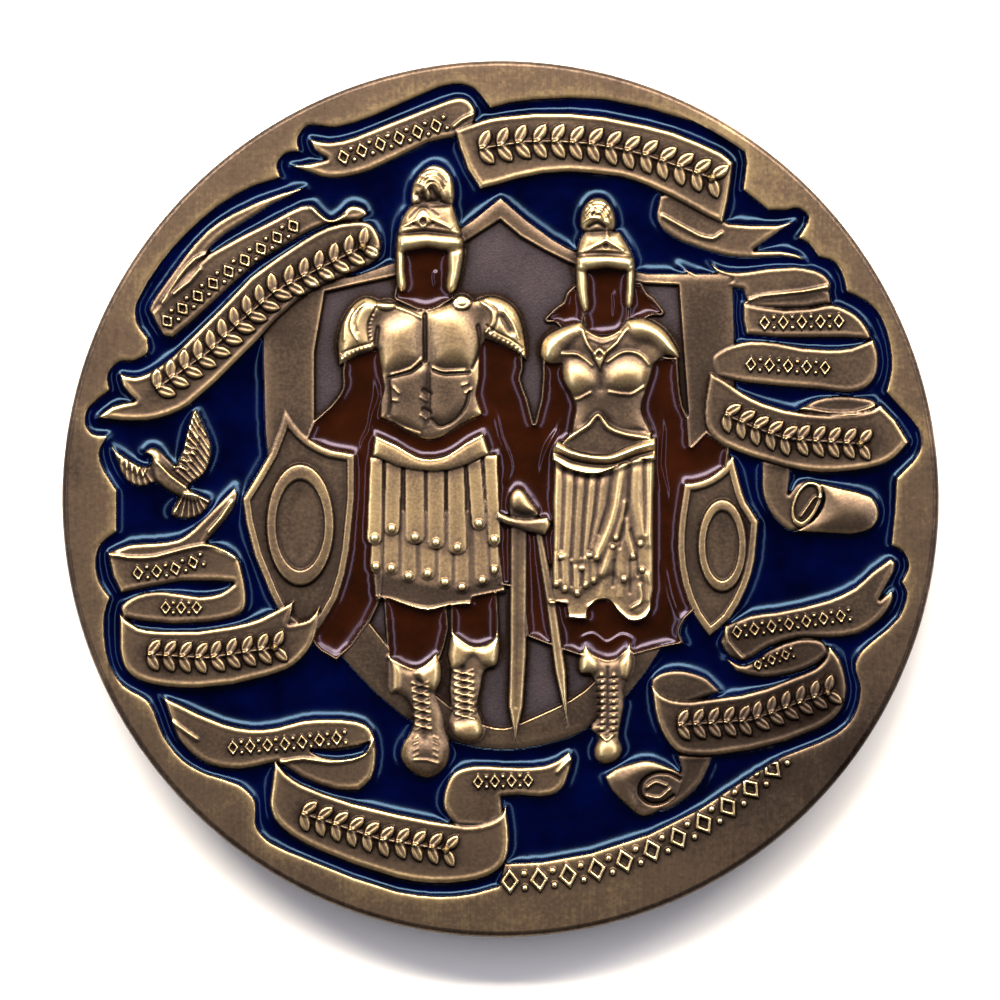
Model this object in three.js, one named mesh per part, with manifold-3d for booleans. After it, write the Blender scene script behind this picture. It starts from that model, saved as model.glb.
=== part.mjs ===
// A soft-enamel challenge coin, 2 inches across, lying flat with its obverse up.
// One die-struck bronze-plated body carries the whole relief and the recesses.
// Each recess is filled with its own poured cell of enamel, which stops below the metal.
// Millimetres, +Z up, +Y towards the top of the design, origin under the middle of the coin.
import * as THREE from 'three';
import { mergeVertices } from 'three/addons/utils/BufferGeometryUtils.js';
import Module from 'manifold-3d';

// Driving dimensions
const COIN_RADIUS = 25.4;
const EDGE_ROUND = 0.7;          // radius of the struck edge, seen from the side
const RIM_TOP = 3.4;             // the flat land round both faces sets the thickness
const FIELD_FLOOR = 2.7;         // bottom of the recesses that hold the blue enamel
const BLUE_TOP = 3.1;            // level of the blue enamel
const CAPE_FLOOR = 2.85;         // bottom of the recesses that hold the brown enamel
const BROWN_TOP = 3.3;           // level of the brown enamel
const SHIELD_FIELD_TOP = 3.15;   // sandblasted field of the great shield
const SHIELD_BORDER_TOP = 3.35;
const CAPE_EDGE_TOP = 3.4;       // thin metal wall round each cape
const CAPE_EDGE_WIDTH = 0.22;
const FOLD_TOP = 3.3;            // back folds of the ribbons
const SMALL_BAND_TOP = 3.42;
const LARGE_BAND_TOP = 3.52;
const HAND_SHIELD_TOP = 3.5;
const HAND_SHIELD_RING_TOP = 3.62;
const SWORD_TOP = 3.55;
const SKIRT_TOP = 3.7;
const BOOT_TOP = 3.75;
const TORSO_TOP = 3.9;
const HELMET_TOP = 4.0;
const DOVE_TOP = 3.5;
const ENAMEL_GAP = 0.02;         // clearance between each enamel cell and the metal
const RELIEF_ROOT = 2.2;         // relief is joined to the blank from this height up
const REVERSE_RIM_INNER = 23.2;
const REVERSE_DEPTH = 0.35;
const REVERSE_SHIELD_SCALE = 0.72;
const REVERSE_SHIELD_DROP = 0.2;
const ROUND_STEPS = 108;         // straight sides that stand for the round edge
const MOST_TURN = 0.5;           // radians that one straight piece of a drawn curve may turn

const BRONZE = { color: 0x8c7550, roughness: 0.42, metalness: 0.9 };
const BLUE = { color: 0x050a33, roughness: 0.22, metalness: 0 };
const BROWN = { color: 0x3a1808, roughness: 0.25, metalness: 0 };

const BLUE_NAMES = ['enamel_blue_field', 'enamel_blue_upper_fold'];

const wasm = await Module();
wasm.setup();

// An outline is text: "x y, x y, ..." in mm. A smooth curve runs through its points,
// apart from a point marked with !, which is a sharp corner.
function outline(text) {
  const knots = text.split(',').map((item) => {
    const [x, y] = item.replace('!', '').trim().split(/\s+/).map(Number);
    return { x, y, corner: item.includes('!') };
  });
  const at = (i) => knots[(i + knots.length) % knots.length];
  const gap = (a, b) => Math.hypot(b.x - a.x, b.y - a.y);
  const slope = (i, run) => {
    const before = at(i - 1);
    const after = at(i + 1);
    const span = gap(before, at(i)) + gap(at(i), after);
    return [(after.x - before.x) * run / span, (after.y - before.y) * run / span];
  };
  const points = [];
  knots.forEach((knot, i) => {
    const next = at(i + 1);
    const run = gap(knot, next);
    const chord = [next.x - knot.x, next.y - knot.y];
    const leave = knot.corner ? chord : slope(i, run);
    const arrive = next.corner ? chord : slope(i + 1, run);
    const turn = new THREE.Vector2(...leave).angleTo(new THREE.Vector2(...arrive));
    const steps = Math.max(1, Math.ceil(turn / MOST_TURN));
    for (let step = 0; step < steps; step += 1) {
      const t = step / steps;
      const h1 = 2 * t ** 3 - 3 * t ** 2 + 1;
      const h2 = t ** 3 - 2 * t ** 2 + t;
      const h3 = 3 * t ** 2 - 2 * t ** 3;
      const h4 = t ** 3 - t ** 2;
      points.push(new THREE.Vector2(
        h1 * knot.x + h2 * leave[0] + h3 * next.x + h4 * arrive[0],
        h1 * knot.y + h2 * leave[1] + h3 * next.y + h4 * arrive[1],
      ));
    }
  });
  return THREE.ShapeUtils.isClockWise(points) ? points.reverse() : points;
}

function ellipse(x, y, halfWidth, halfHeight, steps = 28) {
  return Array.from({ length: steps }, (_, i) => {
    const turn = i * 2 * Math.PI / steps;
    return new THREE.Vector2(x + halfWidth * Math.cos(turn), y + halfHeight * Math.sin(turn));
  });
}

// The outline moved outwards by a small distance, or inwards by a negative one.
function grow(points, distance) {
  return points.map((point, i) => {
    const before = points[(i + points.length - 1) % points.length];
    const after = points[(i + 1) % points.length];
    const into = point.clone().sub(before).normalize();
    const out = after.clone().sub(point).normalize();
    const normal = new THREE.Vector2(into.y + out.y, -into.x - out.x).normalize();
    const stretch = Math.min(1 / Math.max(normal.dot(new THREE.Vector2(out.y, -out.x)), 0.01), 2);
    return point.clone().addScaledVector(normal, distance * stretch);
  });
}

function solid(geometry) {
  geometry.deleteAttribute('normal');
  geometry.deleteAttribute('uv');
  const merged = mergeVertices(geometry, 1e-5);
  return new wasm.Manifold(new wasm.Mesh({
    numProp: 3,
    vertProperties: Float32Array.from(merged.attributes.position.array),
    triVerts: Uint32Array.from(merged.index.array),
  }));
}

function prism(points, bottom, top) {
  const geometry = new THREE.ExtrudeGeometry(new THREE.Shape(points), {
    depth: top - bottom,
    bevelEnabled: false,
  });
  geometry.translate(0, 0, bottom);
  return solid(geometry);
}

function relief(points, top) {
  return { points, top };
}

// Outer edge of the blue field, clockwise from the top of the first ribbon.
const FIELD = outline(`
  -2.4 24, -1.5 23.7, -0.9 23, -0.6 22.6!, 0.5 22.9, 2 23.1, 4 23.2, 6 23.1, 8.5 22.6, 11.2 21.8,
  13.2 20.9, 14 20.3, 14.2 19.4, 14 17.9!, 15.5 16.7!, 16.5 16.7, 17.2 16.8, 17.8 16.3, 17.2 15.1!,
  17.8 14.8, 18.4 14!, 19.3 13.7, 19.8 12.9, 20 12!, 21.2 11.4, 22 10.5, 22.5 9, 22.6 7.5,
  22.3 6.2!, 23.1 5.3, 24.2 4, 24.3 3, 23.8 2.1, 22.9 1.2!, 22.8 -0.6, 22.6 -2.7!, 23.3 -3.1,
  23.6 -3.9, 23.2 -4.8!, 23.5 -5.5, 23 -6.9, 21.8 -8, 20.9 -8.8, 20.5 -9.7, 20.8 -11, 20.4 -12.6,
  19.4 -13.6, 17.6 -14.4, 16.3 -14.9!, 14.2 -16.2, 11.6 -17.9, 8.6 -19.4, 5.2 -20.5, 2.4 -21, 0.2 -21.1!,
  -0.1 -22.4!, -1.5 -22.8, -3.5 -23, -6 -22.7, -8.5 -21.9, -11.5 -20.7, -13.3 -19.9, -14.1 -19,
  -14.2 -17.5, -15.2 -16.5, -17 -15.9, -18.4 -15.1, -19.5 -13.7, -20 -12.4, -20.5 -11.6,
  -21.8 -10.8, -22.6 -9.6, -22.9 -8, -22.9 -6.7, -22.6 -5.7!, -23.2 -4.8, -23.4 -3.6, -23.1 -2.6,
  -22.2 -1.9!, -22.2 0.5!, -22.9 1.6, -23.2 2.7, -22.7 3.7!, -23.6 3.8, -24 4.4, -23.8 5.3,
  -22.6 6.3!, -22.7 7.2, -22.1 7.9, -21.2 8, -20.4 8.5, -20.4 9.3!, -21 10.2, -21 11.4, -19.6 13.7,
  -18.3 15.2, -16.4 16.9, -14.3 18.1, -12.7 18.6!, -12.9 19.4, -12.4 20, -11.6 20.1!, -11.7 20.9,
  -11.1 21.6, -9.5 21.5, -7.5 22.1, -5 23.2, -3.6 23.8`);

const GREAT_SHIELD = outline(`
  0 17.5!, 1.5 16.2, 3 15.1, 4.5 14.3, 6.5 13.6, 8.5 13.1, 13.5 13.1!, 13.6 10, 13.6 6, 13.3 2,
  12.3 -2, 11 -5.5, 9.4 -8.6, 7.3 -11.5, 4.8 -13.5, 2.5 -14.3, 0 -14.6, -2.8 -14.1, -5.7 -12.6,
  -8.5 -10, -10.8 -7, -12.5 -3, -13.4 1, -13.7 4, -13.8 8, -13.8 12!, -10.5 12.8, -8.5 12.95,
  -6.3 13.7, -4 14.6, -1.6 16.2`);
const GREAT_SHIELD_FIELD = outline(`
  0 16.2!, 1.2 15.2, 2.6 14.4, 4 13.7, 6 13, 8.3 12.5, 10.35 12.4!, 10.6 9, 10.9 5, 10.6 0,
  9.3 -4.5, 7.5 -8.3, 4.9 -11.1, 3.2 -12.1, 1.4 -12.9, 0.2 -13.3, -1.2 -13, -3 -12, -5 -10.2,
  -7.6 -7.2, -9.5 -3.5, -10.5 0, -10.8 4, -10.8 8.5, -10.2 12!, -8.5 12.4, -6.2 12.9, -4 13.8, -2.2 14.8`);

const RIBBONS = [
  relief(outline(`-11.1 20.9!, -9.9 20.7, -8.5 21, -6.5 21.8, -4.5 22.6, -3.2 23.1, -2.4 23.3,
    -1.8 23.1, -1.4 22.4, -1.6 21.6!, -2.7 20.9!, -4.2 20.6, -6 19.7, -7.5 19, -9 18.6, -10.3 18.6,
    -12.2 19.3!, -10.9 19.5, -10.1 19.7!, -10.8 20.2`), SMALL_BAND_TOP),
  relief(outline(`-2.7 21.4!, -1 22, 0 22.2, 2 22.4, 4 22.4, 6 22.2, 8.5 21.7, 10 21.3, 11.5 20.7,
    12.8 20.1, 13.5 19.5!, 13.4 18.5, 13.2 17.2, 12.9 15.9!, 12 16.3, 10 17.4, 8.5 18.1, 7 18.6,
    5.5 18.8, 4 18.9, 2.5 18.8, 1 18.5, 0 18.2, -1.2 17.9!, -1.9 19, -2.4 20.3`), LARGE_BAND_TOP),
  relief(outline(`9.2 17.6!, 9 16.6, 9.1 16, 9.6 15.4, 10.6 14.8, 12 14.3, 13.2 14, 14.6 13.9,
    16.2 14, 17.7 13.8!, 17.2 14.2, 16.2 14.4, 14.7 14.4!, 15.8 15.2, 17.1 16.1!, 16 15.9,
    14.5 15.9, 13.2 16!, 12.4 16.5!, 10 17.8!`), FOLD_TOP),
  relief(outline(`-11.2 18.1!, -12.6 17.8, -14 17.3, -15.5 16.6, -17 15.6, -18.4 14, -19.7 12.2,
    -20.4 11, -20.1 10.5!, -19 11!, -17.8 13!, -16.8 14.5, -15.8 15.4, -14.5 16.2!, -13.3 17,
    -12.2 17.5`), FOLD_TOP),
  relief(outline(`-20.3 10.8!, -19.6 9.5, -19 9.3!, -18 10.1, -17 11, -15.5 12.4, -14 13.7, -12 14.9,
    -10 15.9, -8.2 16.1!, -7.7 16.5, -8 16.9, -8.7 17, -9.3 16.5, -9.8 16.2, -10.3 16.5, -10.8 17,
    -11.6 17, -13 16.3, -15 15.3, -16.8 14.3, -18.3 13!, -19.6 11.6`), SMALL_BAND_TOP),
  relief(outline(`-22.1 7.3!, -21.2 7.1, -20.3 7.4, -19 8.3, -17.5 9.8, -16 11.3, -14.5 12.9, -13 14,
    -11.5 15, -10 15.8, -8.5 16.1, -7.6 16, -7.1 15.4, -6.9 14.6, -7.2 13.8, -8.5 13.1, -10.4 12.3,
    -11.8 11.4, -13 10.3, -14 9.2, -15 8.2, -16.5 6.7, -18 5.4, -19.2 4.8, -20.5 4.5, -22 4.5,
    -23.4 4.7!, -22.5 5.4, -21.2 5.7!, -21.9 6.5`), LARGE_BAND_TOP),
  relief(outline(`-15.4 0.7!, -15.2 0.2, -15.5 -0.7, -16.2 -1.6, -17 -2.5!, -16 -2.9, -15.2 -3.4,
    -14.9 -4.3, -14.7 -5.4, -14.8 -6.4, -15.5 -6.9, -17 -7.2, -19 -7.3, -21 -7.1, -21.9 -6.9!,
    -22 -6.2, -21 -5.5, -19.5 -5.3, -17.5 -5.6, -16.2 -5.4, -15.5 -4.9!, -16.4 -4.8, -18.5 -4.8,
    -20.5 -5.2, -22 -5.5!, -22.5 -4.5, -22.8 -3.1!, -21.5 -2.6, -20 -2.5, -18.7 -2.3, -17.8 -1.7,
    -16.7 -0.6`), SMALL_BAND_TOP),
  relief(outline(`-22.1 -6.6!, -21 -7.4, -19.5 -7.6, -17.5 -7.6, -15.5 -7.3, -14 -6.9, -12.8 -6.3,
    -11.9 -5.8!, -12 -6.5, -12.2 -7.2!, -11.1 -6.9, -10.4 -6!, -10.5 -7.2, -10.9 -8.5, -12 -9.7,
    -13.5 -10.3, -15.5 -10.8, -17.5 -11, -19.5 -10.9, -21 -10.5, -21.8 -9.8, -22.1 -8.6`), LARGE_BAND_TOP),
  relief(outline(`-19.6 -11.4!, -18.5 -11.9, -17.5 -12.4, -16 -13, -14.5 -13.3, -13 -13.2, -11.5 -12.8,
    -10 -12.7, -8.5 -12.8, -7.6 -13.2, -7.2 -14.1, -7.2 -15.4, -7.5 -16.3, -8.2 -16.9!, -9.5 -16.9,
    -11.5 -16.2, -12.9 -15.3!, -13.5 -15.4, -15 -15.7, -16.7 -15.5, -17.8 -14.9, -18.7 -13.9,
    -19.1 -12.9!`), SMALL_BAND_TOP),
  relief(outline(`-13.1 -15.1!, -12.4 -15.9, -11.5 -16.5, -10.3 -17, -8.5 -17.6, -6 -18.2, -4 -18.6,
    -2 -18.9, -0.7 -18.7, 0.1 -18.2, 0.3 -17.6!, 0.5 -19, 0.5 -20.4, 0.1 -21.3, -0.8 -21.9, -2 -22.2,
    -4 -22.3, -6 -22, -8.5 -21.2, -10.5 -20.4, -12 -19.6, -13.1 -18.6, -13.4 -17.5`), LARGE_BAND_TOP),
  relief(outline(`4 -14.6!, 3.3 -15.1, 2.5 -15.4, 1 -15.5, -1 -15.4, -2 -15.5, -2.8 -15.9, -3.3 -17,
    -3.3 -18, -2.6 -19!, -0.6 -19.1!, 0.2 -18.5!, 0.1 -17.3!, 1 -17.2, 2.3 -17.3, 3.2 -17.1,
    3.8 -16.5, 4.2 -15.1!`), SMALL_BAND_TOP),
  relief(outline(`12.1 13.8!, 12.6 13.4, 13.3 13.2, 14.2 13.2, 15.5 13.4, 17 13.5, 18.2 13.3, 18.9 12.9,
    19.2 12.3, 18.9 11.9, 17.5 11.8, 15 11.6, 14.4 11.2!, 14.1 11.8!, 14 12.1, 13 12.2, 12 12.4, 11 12.9, 10.3 13.5!,
    11.3 13.1, 12.5 12.7, 13.4 12.7!, 12.5 13.1`), FOLD_TOP),
  relief(outline(`14 11.4!, 15 11.2, 16.5 11, 18 11.1, 19.2 11.3, 20.3 10.9, 21 10.3, 21.5 9.4,
    21.3 9.2!, 20 9.3, 18 9.3, 16 9.3, 14.2 9.5!, 14 10.4`), SMALL_BAND_TOP),
  relief(outline(`12.4 7!, 12.2 8.1, 12.6 8.6, 13.5 9, 14.5 9.2, 16 9.1, 17.5 8.8, 19 8.7, 20.3 8.8,
    21.6 9.3!, 21.9 8.5, 21.9 7.5, 21.6 6.8, 21 6.3, 20 6.1, 18.5 6.3, 16 6.5, 14 6.7, 13 6.9`), SMALL_BAND_TOP),
  relief(outline(`17.2 5.2!, 18.3 5.8, 19.5 6, 21 5.9, 21.8 5.6, 21.5 4.9!, 18 4.7!`), FOLD_TOP),
  relief(outline(`12.1 7.4!, 13 6.9, 14 6.2, 15.2 5.6, 16.5 5.2, 17.7 5, 19 4.9, 20.5 5, 21.5 5.2, 22 5.5!,
    22.9 4.6, 23.7 3.3!, 22.9 2.4, 22 1.9, 20.5 1.6, 18.5 1.5, 16.5 1.8, 14.5 2.4, 13 3, 12.2 3.6,
    11.8 4.4, 11.8 5.6, 12 6.8`), LARGE_BAND_TOP),
  relief(outline(`15.1 2.3!, 15.1 0.8, 15.3 -0.2, 15.9 -1.2, 16.9 -1.9, 18.5 -2, 20.2 -2.1, 21.4 -1.8,
    21.9 -1.2, 21.9 -0.5, 21.4 0.2, 20 0.6, 18.7 0.9, 18 1.1, 17.2 0.9, 16.7 0.3!, 16.9 2!`), SMALL_BAND_TOP),
  relief(outline(`13 -7.3!, 14.5 -6.7, 16 -6.5, 17.5 -6.2, 19 -5.8, 20.5 -5.1, 21.5 -4.2, 22.6 -3.4!,
    22.9 -3.7, 22.8 -4.3, 22 -5.8!, 22.7 -5.2!, 22.8 -5.7, 22.5 -6.4, 21.8 -7.2, 20.6 -7.9, 19 -8.1,
    17.2 -8.1, 15.6 -8.6, 14.2 -9.4, 13.2 -9.1, 12.7 -8.3!`), SMALL_BAND_TOP),
  relief(outline(`13 -9.2!, 14.2 -9.6, 15.6 -8.7, 17.2 -8.1, 18.6 -8.2, 19 -9, 17.5 -10, 15.2 -10.4,
    13.6 -10!`), SMALL_BAND_TOP),
  relief(outline(`8.9 -11.5!, 8.7 -10.6, 9.2 -10.1, 10.1 -9.9, 11 -10, 12 -10.4, 12.8 -11.2!, 10.6 -12!`), FOLD_TOP),
  relief(outline(`8.7 -10.7!, 9.3 -11.3, 10 -11.6, 11 -11.7, 12.5 -11.5, 14 -11.3, 15.5 -10.9, 17 -10.3,
    18.2 -9.8, 18.8 -9.2, 19 -8.4!, 19.7 -9.3, 20.1 -10.8, 19.9 -12, 19.3 -12.8, 18.3 -13.4,
    16.5 -14.1, 14.5 -14.6, 12.5 -14.9, 11 -14.9, 10.1 -14.6, 9.3 -13.5, 8.9 -12.3`), LARGE_BAND_TOP),
  relief(outline(`6 -16.1!, 6.6 -15.6, 7.5 -15.3, 8.5 -15.1, 9.5 -15.4, 10.6 -15.9!, 11.1 -14.7!, 12.4 -14.8!,
    11.7 -16.4, 10.6 -17.5, 9.5 -18.1, 8.5 -18.4, 7.9 -18.3, 7.2 -17.7, 6.4 -16.9`), SMALL_BAND_TOP),
];

const DOVE = relief(outline(`
  -22.6 3.2!, -22.3 2.8, -21.7 2.4, -21 2, -20.4 1.9, -20.2 2.4, -20.7 2.7!, -20.3 3, -19.8 2.9,
  -19.4 2.5, -18.8 1.9!, -18.4 2.8, -18.2 3.9, -17.9 5, -17.6 5.3!, -17.2 4.4, -16.7 3.1, -16.8 2.2,
  -17.2 1.4, -17.9 0.9, -18.1 0.6!, -17.4 0.2, -16.8 -0.1, -17.3 -0.9, -18.3 -1.2, -19.1 -0.9,
  -18.7 0.1!, -19.4 0.5, -20 0.9, -20.8 0.7, -21.6 1, -22.1 1.8`), DOVE_TOP);

// Each cape is one walled pool, which the figures and swords cut into the named cells.
const CAPES = [
  { names: ['enamel_left_cape'],
    edge: outline(`-8.9 8.4!, -9.2 7.4, -9.2 6.4, -9.9 5.4, -10.9 4.5!, -11.6 2.5, -11.9 -2,
    -11.5 -6, -10.8 -8.5, -9.5 -9.4!, -8.6 -8.6, -7.5 -7.1!, -6.8 -5.4, -6.6 0, -6.4 5, -6.8 8.2!`) },
  { names: ['enamel_cape_between_figures', 'enamel_cape_between_blades', 'enamel_cape_beside_blade'],
    edge: outline(`-1.6 8.8!, 1.2 8.4!, 1.3 7.6, 1.2 6.9, 1.6 5.8, 1.95 4.4!, 2.3 5.8,
    2.4 7, 2.4 8.2!, 4.2 8!, 4.6 5, 4.2 2.4, 3.6 -2, 3.6 -6.6, 4.6 -8.9!, 2.9 -8.8!, 1.6 -8.3!, 0.9 -5,
    0.3 -2.2!, -0.8 -1, -0.9 3, -1.6 6`) },
  { names: ['enamel_right_cape'],
    edge: outline(`8.2 8.4!, 10.3 8.2!, 10.4 6.6, 10.6 5.4, 10.95 4.7!, 11.05 3.1!, 11.9 4!,
    13.3 3!, 12.6 -2, 11.6 -6, 10.3 -8.3!, 8.3 -8.3!, 8.1 -5.6, 8.1 0, 7.9 5`) },
];
const SKIN_CELLS = {
  enamel_left_face: outline(`-5.8 14.6!, -2.8 14.6!, -2.8 13.2, -2.9 12.2, -2.8 11.6!, -4.3 11, -6.1 11.6!,
    -5.8 12.3, -5.8 13.3`),
  enamel_right_face: outline(`4.9 13.4!, 7.35 13.5!, 7.3 12, 7.3 10.6, 6.8 9.7!, 5.9 9.5, 5.1 9.7!,
    4.9 10.9, 4.9 12`),
  enamel_hair_left: outline('4.5 12.3!, 3.6 11, 2.8 10.4!, 3.6 10.2, 4.6 10.2!, 4.7 11.2'),
  enamel_hair_right: outline('7.7 12.3!, 8.4 11.6, 9.1 11.1!, 8.4 10.8, 7.5 10.4!, 7.5 11.3'),
  enamel_left_leg_outer: outline('-6.6 -5.6!, -3.4 -5.9!, -3.2 -7.5, -3.7 -9.3!, -4.8 -10.1!, -6.3 -9.7!'),
  enamel_left_leg_inner: outline('-2.7 -5.8!, -0.4 -5.3!, -0.3 -7, -0.3 -8.1!, -1.4 -8.8!, -2.7 -8.2!'),
  enamel_right_leg: outline('5.2 -6!, 6 -5.6!, 7 -6.2!, 7.6 -6.8!, 7.4 -8.6!, 6.3 -9.6!, 5 -9!'),
};

const FIGURES = [
  relief(outline(`-6.9 11.4, -6 11.3, -4.4 10.9, -2.9 11.4, -2.3 11.8, -1.5 11.5, -0.6 11.75, 0.3 11.5,
    1 10.6, 1.35 9.3, 1.2 8!, 0.2 8.2, -1.1 8.4!, -1.2 7, -1.4 6, -1 4.9!, -2.3 4.3, -3.3 3.6, -4.3 3.4,
    -5.2 3.8, -6.2 4.4, -7 4.7!, -7 5.6, -6.7 6.5, -7.1 8!, -8.3 8, -9.3 7.9!, -9.4 9, -9.2 10.3,
    -8.6 11.3, -7.8 11.7`), TORSO_TOP),
  relief(outline(`-7.3 3.7!, -6 3.1, -4.9 2.5, -4 2.4, -2.9 2.7, -1.9 3.4, -1 3.8!, -0.6 2.7, -0.3 1,
    -0.1 -1, 0 -3, 0.3 -5.3!, -0.6 -5.5, -1.6 -5.7!, -1.7 -6.1!, -3 -6.2, -4.2 -6.5, -5.4 -6.2,
    -6.5 -5.8, -7.3 -5.7!, -7.6 -2, -7.6 0, -7.5 2.4`), SKIRT_TOP),
  relief(outline(`-6.5 -9.1!, -5.9 -9.4, -5 -9.8, -4.3 -9.5, -3.7 -8.9!, -3.4 -9.6, -3.4 -10.5,
    -3.7 -11.3, -3.3 -12.5, -3.2 -13.3, -2.9 -14.2, -3 -15.2, -3.5 -15.9, -4.3 -16.2, -5.2 -15.8,
    -5.8 -15, -5.7 -14.2, -5.2 -13.4, -5.1 -12.5, -5.5 -11.6, -6.4 -11.2!, -6.4 -10`), BOOT_TOP),
  relief(outline(`-2.85 -7.6!, -2.4 -8, -1.5 -8.5, -0.6 -8.3, -0.1 -7.7!, 0 -8.6, -0.2 -9.6, -0.9 -10,
    -1.1 -11, -1.3 -12, -1 -12.9, -0.9 -13.6, -1.4 -14.1, -2.2 -14.1, -2.9 -13.7, -3.1 -12.9,
    -2.9 -12.2, -3 -11, -2.9 -9.9, -3.1 -9`), BOOT_TOP),
  relief(outline(`2.5 9.3, 3.6 10, 4.7 10.3!, 5.2 9.7, 5.9 9.4, 6.7 9.7, 7.3 10.4!, 8.3 10.5, 9.5 9.8,
    10.3 8.6, 10.4 8.1!, 9.6 8.3, 8.9 7.8!, 8.7 7, 8.4 6.1, 8.2 5.2, 8.5 4.4, 8.8 3.8!, 7.6 3.7,
    6.6 3.9, 5.7 4.7, 4.9 3.9, 4 3.5!, 4.2 4.6, 4.3 5.4, 4 6.2, 3.6 6.9, 3.5 7.8!, 2.8 7.8, 2.3 8.3`), TORSO_TOP),
  relief(outline(`3.3 3.4!, 4 3, 5.2 2.7, 6.3 2.7, 7.3 3.2, 8.3 3.6, 9 3.6!, 9 2, 8.9 0, 8.9 -3, 8.9 -5.2,
    8.7 -6.4!, 8.4 -6.9, 7.6 -7.1, 6.9 -6.6, 6.3 -5.9, 5.6 -5.9, 5.1 -6.3!, 5 -7!, 3.9 -6.9!, 3.8 -6.1!,
    2.8 -5.9!, 3 -3, 3 0, 3.1 2.3`), SKIRT_TOP),
  relief(outline(`4.9 -8.4!, 5.3 -8.9, 6.2 -9.3, 7 -9, 7.5 -8.3!, 7.8 -9.3, 7.6 -10.3, 7.2 -11, 7.2 -12,
    7 -13, 6.9 -13.8, 7.1 -14.5, 6.8 -15.1, 6.1 -15.4, 5.5 -15.1, 5.4 -14.5, 5.6 -13.8, 5.2 -13.3,
    5.6 -12.5, 5.5 -11, 5.2 -10.2, 4.6 -10.1, 4.5 -9.3`), BOOT_TOP),
];
const HELMETS = [
  relief(outline(`-5.2 17.2, -5.1 18.1, -4.7 18.9, -4 19.3, -3.3 19.2, -2.8 18.5, -2.7 17.4, -2.4 16.4,
    -2.2 15.5, -2.1 14.6, -2.2 13.5, -2.5 12.6, -3 12.1!, -3.2 12.3, -2.95 13.2, -3 14.4!, -4.3 14.6,
    -5.6 14.4!, -5.65 13.3, -5.5 12.5, -5.6 12.1!, -5.9 12.3, -6.05 13.5, -6 14.8, -5.9 15.6,
    -5.5 16.5`), HELMET_TOP),
  relief(outline(`4.7 15.6, 4.6 16.3, 4.9 17, 5.5 17.3, 6.1 17.2, 6.5 16.7, 6.7 16, 6.9 15.5, 7.2 15,
    7.4 14.3, 7.6 13.9, 7.7 13.4, 7.75 12.6, 7.7 11.8, 7.2 11.1!, 7.2 12, 7.2 13.3!, 6.2 13.4,
    5.1 13.2!, 5 12.4, 5.1 11.5, 5 10.9!, 4.6 11.1, 4.5 11.8, 4.4 12.8, 4.3 13.8, 4.4 14.6, 4.6 15.2`), HELMET_TOP),
];

const HAND_SHIELDS = [
  {
    edge: outline(`-12.5 5.3!, -11.9 4.4, -11 3.5, -9.8 2.9, -8.4 2.65!, -8.4 0, -8.7 -3, -9.4 -5.8,
      -10.9 -8.2!, -12.4 -7.2, -13.4 -5.5, -14.3 -3.3, -14.8 -1.4, -15 0!, -14.2 1.3, -13.4 2.7, -12.9 4`),
    boss: [-11.6, -1.5, 2, 3.6],
  },
  {
    edge: outline(`13.5 2.6!, 12.9 1.9, 12.1 1.3, 11.2 1, 10.6 0.95!, 10.3 -1, 10.2 -3, 10.5 -5,
      11.2 -6.8, 12.1 -8!, 13.3 -7, 14.3 -5.2, 14.8 -3.5, 15 -1.3!, 14.3 -0.2, 13.9 1`),
    boss: [12.85, -2.7, 1.45, 2.7],
  },
];

const SWORDS = [
  relief(outline('0.5 -1.35!, 1.6 -1.4!, 1.5 -9!, 1.3 -12!, 0.85 -14.2!, 0.45 -12!, 0.55 -9!'), SWORD_TOP),
  relief(outline('1.9 -1.5!, 2.3 -1.5!, 3.6 -10!, 3.95 -13.9!, 3.2 -10!'), SWORD_TOP),
  relief(outline(`-0.2 -0.7!, 0.5 -1, 1.5 -1.2, 2.8 -1.1!, 2.9 -1.5, 2.6 -2!, 1.5 -1.8, 0.2 -1.4,
    -0.3 -1.1!`), SWORD_TOP),
  relief(outline('0.8 0.5, 1.2 0.5, 1.7 -0.1, 2.2 -0.9, 1.4 -1.4, 0.6 -1.2, 0.5 -0.4'), SWORD_TOP),
];

// The blank: a round disc with struck, rounded edges and a recessed reverse.
function blank() {
  const profile = [new THREE.Vector2(0, 0), new THREE.Vector2(COIN_RADIUS - EDGE_ROUND, 0)];
  const roundSteps = 2;
  for (let i = 0; i <= 2 * roundSteps + 1; i += 1) {
    const half = i > roundSteps ? 1 : 0;
    const turn = (i - half) * Math.PI / (2 * roundSteps);
    profile.push(new THREE.Vector2(
      COIN_RADIUS - EDGE_ROUND + EDGE_ROUND * Math.sin(turn),
      half ? RIM_TOP - EDGE_ROUND - EDGE_ROUND * Math.cos(turn) : EDGE_ROUND - EDGE_ROUND * Math.cos(turn),
    ));
  }
  profile.push(new THREE.Vector2(0, RIM_TOP));
  const disc = new THREE.LatheGeometry(dropRepeats(profile), ROUND_STEPS);
  disc.rotateX(Math.PI / 2);
  return solid(disc);
}

function dropRepeats(profile) {
  return profile.filter((point, i) => i === 0 || point.distanceTo(profile[i - 1]) > 1e-6);
}

function together(reliefs, growth = 0) {
  const prisms = reliefs.map(({ points, top }) => prism(grow(points, growth), RELIEF_ROOT, top));
  return prisms.reduce((all, one) => all.add(one));
}

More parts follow.
